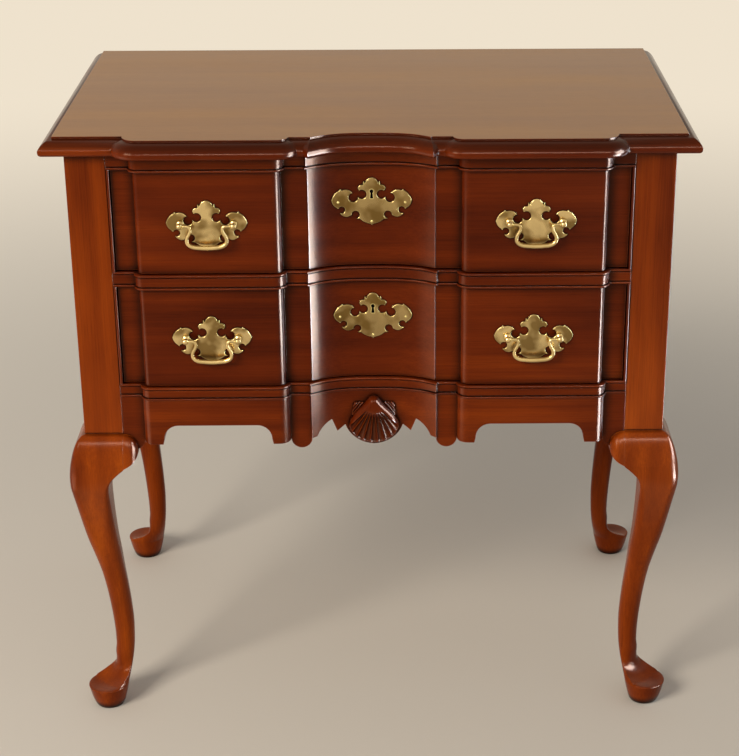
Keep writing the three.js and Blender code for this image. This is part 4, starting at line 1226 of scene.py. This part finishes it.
class LOWBOY_OT_apron(bpy.types.Operator):
    """Makes the front apron with its scalloped lower edge"""

    bl_idname = "lowboy.apron"
    bl_label = "Front apron"

    def execute(self, context):
        beyond = CUTTER_MARGIN
        top = APRON_TOP - GLUE_GAP
        blank = contour_solid(RAIL_PLAN, 0, APRON_THICKNESS, APRON_TOP - APRON_DEPTH - beyond, top)
        right = bowed_line([(x, APRON_TOP - depth, bow) for x, depth, bow in APRON_EDGE], ARC_STEPS)
        right[0].x += beyond
        crown = Vector((right[0].x, top + beyond))
        outline = [crown, *both_halves(right), Vector((-crown.x, crown.y))]
        keep = upright_solid(outline, RAIL_PLAN["block"] + beyond, -APRON_THICKNESS - beyond)
        bm = worked(blank, [keep], "INTERSECT")
        add_piece(bm, "front_apron", front_wood("x", 4), "edge", smooth=32)
        return {"FINISHED"}


def bar_shape(knots):
    """A round bar through places in space, each with the bar's radius in millimetres."""
    bar = bpy.data.curves.new("bar", "CURVE")
    bar.dimensions = "3D"
    bar.bevel_depth = MM
    bar.bevel_resolution = 4
    bar.resolution_u = 8
    bar.use_fill_caps = True
    line = bar.splines.new("BEZIER")
    line.bezier_points.add(len(knots) - 1)
    for knot, (place, radius) in zip(line.bezier_points, knots):
        knot.co = place
        knot.radius = radius
        knot.handle_left_type = knot.handle_right_type = "AUTO"
    piece = placed("bar", bar)
    bm = shaped(piece)
    bpy.data.objects.remove(piece)
    bpy.data.curves.remove(bar)
    return bm


def smooth_step(low, high, value):
    """Zero below low, one above high, and a smooth passage between them."""
    share = min(max((value - low) / (high - low), 0), 1)
    return share * share * (3 - 2 * share)


def shell_shape(carving):
    """Flutes that fan out from under a smooth boss, between two broad rounded bands. Directions round
    the focus are in degrees from straight down."""
    reach_at = reader(SHELL_EDGE)
    rise, depth = carving.rise / MM, carving.flute_depth / MM

    def spot(turned, share):
        reach = reach_at(abs(turned))[0] * share
        angle = math.radians(turned)
        return Vector((math.sin(angle) * reach, SHELL_FOCUS - math.cos(angle) * reach))

    def point(turned, share):
        place = spot(turned, share)
        reach = reach_at(abs(turned))[0] * share
        from_rim = rim(place)
        in_fan = 1 - smooth_step(*SHELL_BAND_START, abs(turned))
        out = reach / SHELL_EDGE[0][1]
        dome = rise * (1 - SHELL_FALL * out ** SHELL_FALL_POWER)
        width = SHELL_SHOULDER + SHELL_SHOULDER * (1 - in_fan)
        shoulder = math.sqrt(1 - (1 - min(from_rim / width, 1)) ** 2)
        height = SHELL_RIM + (dome - SHELL_RIM) * shoulder
        if abs(turned) < SHELL_FAN:
            phase = (turned + SHELL_FAN) / (2 * SHELL_FAN) * carving.flutes
            scoop = abs(math.sin(math.pi * phase)) ** FLUTE_ROUNDNESS
            run = smooth_step(*FLUTE_START, reach) * smooth_step(*FLUTE_END, from_rim)
            height -= depth * scoop * run * (FLUTE_DEPTH_AT_FOCUS + (1 - FLUTE_DEPTH_AT_FOCUS) * out)
        base = forward_at(place.x) + GLUE_GAP
        return metres(place.x, base + height, place.y)

    fan = spread(-SHELL_FAN, SHELL_FAN, carving.flutes * SHELL_FLUTE_STEPS)
    crown = spread(SHELL_FAN, 360 - SHELL_FAN, SHELL_CROWN_STEPS)[1:-1]
    turns = [turned if turned <= 180 else turned - 360 for turned in fan + crown]
    rim = distance_from([spot(turned, 1) for turned in spread(-180, 180, SHELL_EDGE_SAMPLES)[1:]])
    rings = [[point(turned, share) for turned in turns] for share in spread(1, 0, SHELL_RINGS)[:-1]]
    back = []
    for share in SHELL_BACK_RINGS:
        spots = [spot(turned, share) for turned in turns]
        back.append([metres(p.x, forward_at(p.x) + GLUE_GAP, p.y) for p in spots])
    bm = bmesh.new()
    skin(bm, [*back, *rings])
    return bm


def ear_ridges(side):
    """Tapered ridges beside the shell's boss, which lie on the apron."""
    ridges = []
    for (x0, z0), (x1, z1) in SHELL_EARS:
        knots = []
        for share, radius in EAR_RIDGE:
            x = side * (x0 + (x1 - x0) * share)
            stand = forward_at(x) + GLUE_GAP + EAR_RIDGE_STAND
            knots.append((metres(x, stand, z0 + (z1 - z0) * share), radius))
        ridges.append(bar_shape(knots))
    return ridges


class LOWBOY_OT_shell(bpy.types.Operator):
    """Makes the carved shell"""

    bl_idname = "lowboy.shell"
    bl_label = "Carved shell"

    def execute(self, context):
        shell = shell_shape(context.scene.lowboy_carving)
        ears = []
        face = forward_at(EAR_MIDDLE) + GLUE_GAP
        for _, side in HANDS:
            outline = [Vector((side * x, z)) for x, z in EAR_GROUND]
            ears.append(upright_solid(outline, face + EAR_GROUND_STAND, face - EAR_GROUND_SINK))
            ears += ear_ridges(side)
        bm = worked(shell, ears, "UNION")
        behind = contour_solid(RAIL_PLAN, GLUE_GAP, APRON_THICKNESS, *SHELL_CUTTER_HEIGHTS)
        bm = worked(bm, [behind])
        add_piece(bm, "carved_shell", front_wood("z", 5), smooth=50)
        return {"FINISHED"}


def tail_cutters(side):
    """Dovetail sockets at one end of a drawer front, from the level of the opening."""
    low, high = GLUE_GAP, OPENING_HEIGHT - DRAWER_SIDE_SHORTFALL
    pitch = (high - low) / TAIL_COUNT
    slope = (TAIL_END_SHARE - TAIL_ROOT_SHARE) * pitch / (DRAWER_FRONT_DEPTH - TAIL_END_DEPTH)
    inner = DRAWER_PLAN["half"] - DRAWER_SIDE_THICKNESS - GLUE_GAP
    outer = DRAWER_PLAN["half"] + CUTTER_MARGIN
    back, end = DRAWER_FRONT_DEPTH + CUTTER_MARGIN, TAIL_END_DEPTH - GLUE_GAP
    bm = bmesh.new()
    for tail in range(TAIL_COUNT):
        middle = low + pitch * (tail + 0.5)
        verts = bmesh.ops.create_cube(bm, size=1)["verts"]
        for vert in verts:
            depth = back if vert.co.y > 0 else end
            half = TAIL_ROOT_SHARE * pitch + slope * (DRAWER_FRONT_DEPTH - depth) + GLUE_GAP
            x = side * (inner if vert.co.x < 0 else outer)
            vert.co = metres(x, -depth, middle + (half if vert.co.z > 0 else -half))
    return bm


def keyhole_cutter(forward, back, middle):
    """Round hole over a slot that widens downward, as one cutter."""
    z = middle + KEYHOLE_RAISE
    start = math.asin(KEYHOLE_NECK / KEYHOLE_RADIUS)
    outline = [
        Vector((-KEYHOLE_RADIUS * math.sin(angle), z - KEYHOLE_RADIUS * math.cos(angle)))
        for angle in spread(start, FULL_TURN - start, KEYHOLE_STEPS)
    ]
    foot = z - KEYHOLE_LENGTH
    outline += [Vector((KEYHOLE_FOOT, foot)), Vector((-KEYHOLE_FOOT, foot))]
    return upright_solid(outline, forward, back)


class LOWBOY_OT_drawer_fronts(bpy.types.Operator):
    """Makes the two drawer fronts with their dovetail sockets, bores and keyholes"""

    bl_idname = "lowboy.drawer_fronts"
    bl_label = "Drawer fronts"

    def execute(self, context):
        front = -DRAWER_SETBACK
        behind = -DRAWER_FRONT_DEPTH - CUTTER_MARGIN
        recess = RAIL_PLAN["centre"] - DRAWER_SETBACK
        reach = DRAWER_PLAN["half"] - DRAWER_SIDE_THICKNESS + GROOVE_REACH
        for seed, level in enumerate(LEVELS):
            blank = contour_solid(
                DRAWER_PLAN, front, DRAWER_FRONT_DEPTH, REVEAL, OPENING_HEIGHT - REVEAL,
            )
            bores = bmesh.new()
            for side in (-1, 1):
                for way in (-1, 1):
                    x = side * PULL_REACH + way * POST_SPACING / 2
                    add_bore(bores, BLOCK_FACE + CUTTER_MARGIN, behind, x, POST_LEVEL)
            groove = bmesh.new()
            add_block(groove, (-reach, -GROOVE_FRONT, GROOVE_LOW), (reach, behind, GROOVE_HIGH))
            keyhole = keyhole_cutter(recess + CUTTER_MARGIN, recess - KEYHOLE_DEPTH, ESCUTCHEON_MIDDLE)
            bm = worked(blank, [tail_cutters(-1), tail_cutters(1), bores, groove, keyhole])
            bmesh.ops.translate(bm, vec=(0, 0, OPENING[level] * MM), verts=bm.verts)
            add_piece(bm, f"{level}_drawer_front", front_wood("x", 6 + seed), "edge", smooth=32)
        return {"FINISHED"}


class LOWBOY_OT_drawer_boxes(bpy.types.Operator):
    """Finishes the sides, backs and bottoms of the drawers"""

    bl_idname = "lowboy.drawer_boxes"
    bl_label = "Drawer boxes"

    def execute(self, context):
        for seed, level in enumerate(LEVELS):
            for part in ("left_side", "right_side"):
                add_board(f"{level}_drawer_{part}", inside_wood("y", seed))
            add_board(f"{level}_drawer_back", inside_wood("x", seed))
            add_board(f"{level}_drawer_bottom", inside_wood("x", 2 + seed))
        return {"FINISHED"}


class LOWBOY_OT_case_boards(bpy.types.Operator):
    """Finishes the side and back panels, the rear rail, the runners and the kickers"""

    bl_idname = "lowboy.case_boards"
    bl_label = "Case boards"

    def execute(self, context):
        for seed, (hand, _) in enumerate(HANDS):
            add_board(f"{hand}_side_panel", case_wood("y", seed))
            for node in (f"upper_{hand}_runner", f"lower_{hand}_runner", f"{hand}_kicker"):
                add_board(node, inside_wood("y", 3 + seed))
        add_board("back_panel", inside_wood("x", 5))
        add_board("rear_rail", inside_wood("x", 6))
        return {"FINISHED"}


def plate_shape(bevel):
    """The pierced plate round its own middle, with a rounded bevel round its face, in the x and z plane.
    The bevel narrows where the plate's points and necks leave less room."""
    shares = [(x * PLATE_WIDTH / 2, z * PLATE_HEIGHT / 2, bow) for x, z, bow in PLATE_EDGE]
    outline = both_halves(bowed_line(shares, PLATE_ARC_STEPS))[:-1]
    from_edge = distance_from([
        outline[i - 1].lerp(point, share)
        for i, point in enumerate(outline)
        for share in spread(0, 1, PLATE_EDGE_SAMPLES)[:-1]
    ])
    widths = []
    inward = []
    for before, point, after in zip([outline[-1], *outline], outline, [*outline[1:], outline[0]]):
        side = (after - before).normalized()
        inward.append(Vector((side.y, -side.x)))
        room = [
            reach for reach in spread(0, bevel / MM, PLATE_BEVEL_TRIES)
            if from_edge(point + inward[-1] * reach) >= reach * PLATE_BEVEL_ROOM
        ]
        widths.append(max(room))
    rings = []
    for inset, height in PLATE_BEVEL:
        spots = [point + way * (width * inset) for point, way, width in zip(outline, inward, widths)]
        rings.append([Vector((p.x, -PLATE_THICKNESS * height, p.y)) * MM for p in spots])
    bm = bmesh.new()
    skin(bm, rings)
    tidy(bm)
    for x in spread(-PLATE_WIDTH / 2, PLATE_WIDTH / 2, PLATE_STRIPS)[1:-1]:
        bmesh.ops.bisect_plane(
            bm, geom=bm.verts[:] + bm.edges[:] + bm.faces[:],
            plane_co=(x * MM, 0, 0), plane_no=(1, 0, 0),
        )
    return bm


class LOWBOY_OT_pull_plates(bpy.types.Operator):
    """Makes the four pierced pull plates"""

    bl_idname = "lowboy.pull_plates"
    bl_label = "Pull plates"

    def execute(self, context):
        bevel = context.scene.lowboy_brass.plate_bevel
        near, far = FRONT_Y + CUTTER_MARGIN, FRONT_Y - CUTTER_MARGIN
        for level, hand, side in PULLS:
            bores = bmesh.new()
            for way in (-1, 1):
                add_bore(bores, near, far, way * POST_SPACING / 2, POST_RAISE)
            bm = worked(plate_shape(bevel), [bores])
            z = OPENING[level] + PLATE_MIDDLE
            bm.transform(Matrix.Translation(metres(side * PULL_REACH, BLOCK_FACE + GLUE_GAP, z)))
            add_piece(bm, f"{level}_{hand}_pull_plate", brass("brown"), smooth=40)
        return {"FINISHED"}


class LOWBOY_OT_escutcheons(bpy.types.Operator):
    """Makes the two escutcheon plates, bent to the concave centre, with their keyholes and pins"""

    bl_idname = "lowboy.escutcheons"
    bl_label = "Escutcheons"

    def execute(self, context):
        bevel = context.scene.lowboy_brass.plate_bevel
        for level in LEVELS:
            middle = OPENING[level] + ESCUTCHEON_MIDDLE
            hole = keyhole_cutter(FRONT_Y + PLATE_CUT_REACH, FRONT_Y - PLATE_CUT_REACH, 0)
            bm = worked(plate_shape(bevel), [hole])
            for vert in bm.verts:
                stand = -vert.co.y / MM
                bow = forward_at(vert.co.x / MM) - DRAWER_SETBACK
                vert.co = metres(vert.co.x / MM, bow + GLUE_GAP + stand, middle + vert.co.z / MM)
            for x, z in ESCUTCHEON_PINS:
                face = forward_at(x) - DRAWER_SETBACK + GLUE_GAP + PLATE_THICKNESS
                pin = bmesh.ops.create_uvsphere(
                    bm, u_segments=16, v_segments=10, radius=PIN_RADIUS * MM,
                )["verts"]
                bmesh.ops.scale(bm, vec=(1, PIN_FLATNESS, 1), verts=pin)
                bmesh.ops.translate(bm, vec=metres(x, face - PIN_SINK, middle + z), verts=pin)
            add_piece(bm, f"{level}_escutcheon", brass("browner"), smooth=40)
        return {"FINISHED"}


def post_shape():
    """A pull post with its nut, round the middle of the plate's back."""
    bm = bmesh.new()
    verts = [bm.verts.new(Vector((r, -forward, 0)) * MM) for forward, r in POST_PROFILE]
    edges = [bm.edges.new(pair) for pair in zip(verts, verts[1:])]
    bmesh.ops.spin(
        bm, geom=verts + edges, cent=(0, 0, 0), axis=(0, 1, 0), angle=FULL_TURN,
        steps=POST_STEPS, use_merge=True,
    )
    nut = bmesh.new()
    place = Matrix.Translation((0, NUT_BACK * MM, 0)) @ Matrix.Rotation(QUARTER_TURN, 4, "X")
    bmesh.ops.create_cone(
        nut, cap_ends=True, segments=6, radius1=NUT_RADIUS * MM, radius2=NUT_RADIUS * MM,
        depth=NUT_THICKNESS * MM, matrix=place,
    )
    return worked(bm, [nut], "UNION")


class LOWBOY_OT_pull_posts(bpy.types.Operator):
    """Makes the eight pull posts with their nuts"""

    bl_idname = "lowboy.pull_posts"
    bl_label = "Pull posts"

    def execute(self, context):
        for level, hand, side in PULLS:
            for end, way in HANDS:
                bm = post_shape()
                x = side * PULL_REACH + way * POST_SPACING / 2
                spot = metres(x, BLOCK_FACE + GLUE_GAP, OPENING[level] + POST_LEVEL)
                bm.transform(Matrix.Translation(spot))
                add_piece(bm, f"{level}_{hand}_pull_{end}_post", brass("bright"), smooth=40)
        return {"FINISHED"}


def bail_shape():
    """The swan-neck bail round the middle of its pins."""
    half = POST_SPACING / 2 - BAIL_PLAY
    right = [(Vector((half * x, 0, BAIL_DROP * z)) * MM, radius) for x, z, radius in BAIL]
    left = [(Vector((-place.x, 0, place.z)), radius) for place, radius in reversed(right[:-1])]
    return bar_shape(right + left)


class LOWBOY_OT_bails(bpy.types.Operator):
    """Makes the four swan-neck bails"""

    bl_idname = "lowboy.bails"
    bl_label = "Bails"

    def execute(self, context):
        forward = BLOCK_FACE + GLUE_GAP + HEAD_STANDOFF
        for level, hand, side in PULLS:
            bm = bail_shape()
            spot = metres(side * PULL_REACH, forward, OPENING[level] + POST_LEVEL)
            bm.transform(Matrix.Translation(spot))
            add_piece(bm, f"{level}_{hand}_bail", brass("bright"), smooth=60)
        return {"FINISHED"}


# Camera, fitted to the photograph's edges: pixels for lengths in the image, metres and radians
IMAGE_HEIGHT = 756
FOCAL_PIXELS = 1876.32
CENTRE_SHIFT_PIXELS = 44.07
CAMERA_PLACE = (0.02788, -2.33334, 1.36696)
CAMERA_PITCH = 0.4006
CAMERA_YAW = 0.0101
CAMERA_ROLL = -0.0026


# Lamps: name, place, point they face, width and height, colour, whether they show only in the lacquered
# wood's gloss, and turn round the vertical. The power of each is one of the stage's settings.
LAMPS = (
    ("window", (1.5, -0.78, 0.9), (0, -0.4, 0.7), (0.9, 1.3), (0.7, 0.85, 1), True, 0),
    ("low", (1.5, -0.84, 0.02), (1.5, -0.84, 1), (1.2, 0.6), (0.66, 0.84, 1), True, -0.42),
    ("glow", (0, -0.6, 0.02), (0, -0.6, 1), (2.2, 0.3), (1, 0.7, 0.42), True, 0),
    ("lip", (0.3, -2.6, 2.2), (0, -0.2, 0.5), (2.6, 0.35), (0.9, 0.95, 1), True, 0),
    ("left", (-1.3, -0.75, 0.02), (-1.3, -0.75, 1), (1.1, 1), (1, 0.88, 0.74), True, 0),
    ("key", (-2.3, -2.6, 2.4), (0, 0, 0.4), (1.5, 1.5), (1, 0.94, 0.84), False, 0),
)


def add_area_lamp(name, place, aim, size, colour, sheen, turn):
    """A soft rectangular lamp that faces a point and isn't seen itself."""
    lamp = bpy.data.lights.new(f"{name}_lamp", "AREA")
    lamp.shape = "RECTANGLE"
    lamp.size, lamp.size_y = size
    lamp.energy = getattr(bpy.context.scene.lowboy_stage, f"{name}_power")
    lamp.color = colour
    holder = placed(f"{name}_lamp", lamp)
    holder.visible_camera = False
    if sheen:
        holder.visible_diffuse = False
        holder.light_linking.receiver_collection = lacquered()
    aimed = (Vector(aim) - Vector(place)).to_track_quat("-Z", "Y").to_matrix().to_4x4()
    holder.matrix_world = Matrix.Translation(place) @ Matrix.Rotation(turn, 4, "Z") @ aimed


def lacquered():
    """The collection of the pieces whose lacquer reflects the sheen lamps: all but the rear legs and
    their blocks."""
    if "lacquered" not in bpy.data.collections:
        bpy.data.collections.new("lacquered")
    return bpy.data.collections["lacquered"]


def seen_or_glossy(tree):
    """One for camera rays and for reflections, else zero."""
    rays = add_node(tree, "LightPath").outputs
    values = {0: rays["Is Camera Ray"], 1: rays["Is Glossy Ray"]}
    return add_node(tree, "Math", values, operation="MAXIMUM").outputs["Value"]


def fade_to_backdrop(tree, shader, colour):
    """Lets the far floor pass into the backdrop's colour, with its near part left to the light."""
    place = add_node(tree, "TexCoord").outputs["Object"]
    reach = add_node(tree, "VectorMath", {0: place}, operation="LENGTH").outputs["Value"]
    values = {"Value": reach, "From Min": 0.7, "From Max": 3.2}
    fade = add_node(tree, "MapRange", values, interpolation_type="SMOOTHSTEP").outputs["Result"]
    share = add_node(tree, "Math", {0: fade, 1: seen_or_glossy(tree)}, operation="MULTIPLY")
    glow = add_node(tree, "Emission", {"Color": (*colour, 1), "Strength": 1})
    both = {"Fac": share.outputs["Value"], 1: shader.outputs["BSDF"], 2: glow.outputs["Emission"]}
    surface = add_node(tree, "MixShader", both).outputs["Shader"]
    feed(tree, tree.nodes["Material Output"], {"Surface": surface})


class LOWBOY_OT_stage(bpy.types.Operator):
    """Makes the floor, the backdrop light, the lamps and the camera"""

    bl_idname = "lowboy.stage"
    bl_label = "Stage"

    def execute(self, context):
        scene = context.scene
        looks = scene.lowboy_stage
        bm = bmesh.new()
        bmesh.ops.create_grid(bm, x_segments=1, y_segments=1, size=9)
        floor = meshed("floor", bm)
        material, tree, shader = new_material("pale_floor")
        feed(tree, shader, {"Base Color": (*looks.floor_colour, 1), "Roughness": 0.7})
        fade_to_backdrop(tree, shader, looks.backdrop_colour)
        floor.data.materials.append(material)

        scene.world = bpy.data.worlds.new("soft_light")
        scene.world.use_nodes = True
        tree = scene.world.node_tree
        ambient = tree.nodes["Background"]
        feed(tree, ambient, {"Color": (1, 1, 1, 1), "Strength": looks.ambient})
        backdrop = add_node(tree, "Background", {"Color": (*looks.backdrop_colour, 1), "Strength": 1})
        both = {"Fac": seen_or_glossy(tree), 1: ambient.outputs[0], 2: backdrop.outputs[0]}
        surface = add_node(tree, "MixShader", both).outputs["Shader"]
        feed(tree, tree.nodes["World Output"], {"Surface": surface})

        for lamp in LAMPS:
            add_area_lamp(*lamp)

        camera = bpy.data.cameras.new("camera")
        camera.sensor_fit = "AUTO"
        camera.sensor_width = 36
        camera.lens = FOCAL_PIXELS / IMAGE_HEIGHT * camera.sensor_width
        camera.shift_x = -CENTRE_SHIFT_PIXELS / IMAGE_HEIGHT
        camera.clip_start = 0.05
        holder = placed("camera", camera)
        turn = Matrix.Rotation(-CAMERA_YAW, 4, "Z")
        turn @= Matrix.Rotation(QUARTER_TURN - CAMERA_PITCH, 4, "X")
        turn @= Matrix.Rotation(CAMERA_ROLL, 4, "Z")
        holder.matrix_world = Matrix.Translation(CAMERA_PLACE) @ turn
        scene.camera = holder
        scene.view_settings.view_transform = "Standard"
        return {"FINISHED"}


OPERATORS = (
    LOWBOY_OT_stage,
    LOWBOY_OT_top_board,
    LOWBOY_OT_legs,
    LOWBOY_OT_knee_blocks,
    LOWBOY_OT_rails,
    LOWBOY_OT_upright_beads,
    LOWBOY_OT_apron,
    LOWBOY_OT_shell,
    LOWBOY_OT_drawer_fronts,
    LOWBOY_OT_drawer_boxes,
    LOWBOY_OT_case_boards,
    LOWBOY_OT_pull_plates,
    LOWBOY_OT_escutcheons,
    LOWBOY_OT_pull_posts,
    LOWBOY_OT_bails,
)
GROUPS = {
    "lowboy_timber": LowboyTimber,
    "lowboy_carving": LowboyCarving,
    "lowboy_brass": LowboyBrass,
    "lowboy_stage": LowboyStage,
}


class LOWBOY_PT_sidebar(bpy.types.Panel):
    """Lists the lowboy's sizes, colours and pieces"""

    bl_idname = "LOWBOY_PT_sidebar"
    bl_label = "Lowboy"
    bl_space_type = "VIEW_3D"
    bl_region_type = "UI"
    bl_category = "Lowboy"

    def draw(self, context):
        for name, group in GROUPS.items():
            settings = getattr(context.scene, name)
            for prop in group.__annotations__:
                self.layout.prop(settings, prop)
        for operator in OPERATORS:
            self.layout.operator(operator.bl_idname)


def register():
    for item in (*GROUPS.values(), *OPERATORS, LOWBOY_PT_sidebar):
        bpy.utils.register_class(item)
    for name, group in GROUPS.items():
        setattr(bpy.types.Scene, name, bpy.props.PointerProperty(type=group))


def unregister():
    for name in GROUPS:
        delattr(bpy.types.Scene, name)
    for item in (LOWBOY_PT_sidebar, *reversed(OPERATORS), *GROUPS.values()):
        bpy.utils.unregister_class(item)


def main():
    register()
    for operator in OPERATORS:
        group, name = operator.bl_idname.split(".")
        getattr(getattr(bpy.ops, group), name)()


if __name__ == "__main__":
    main()
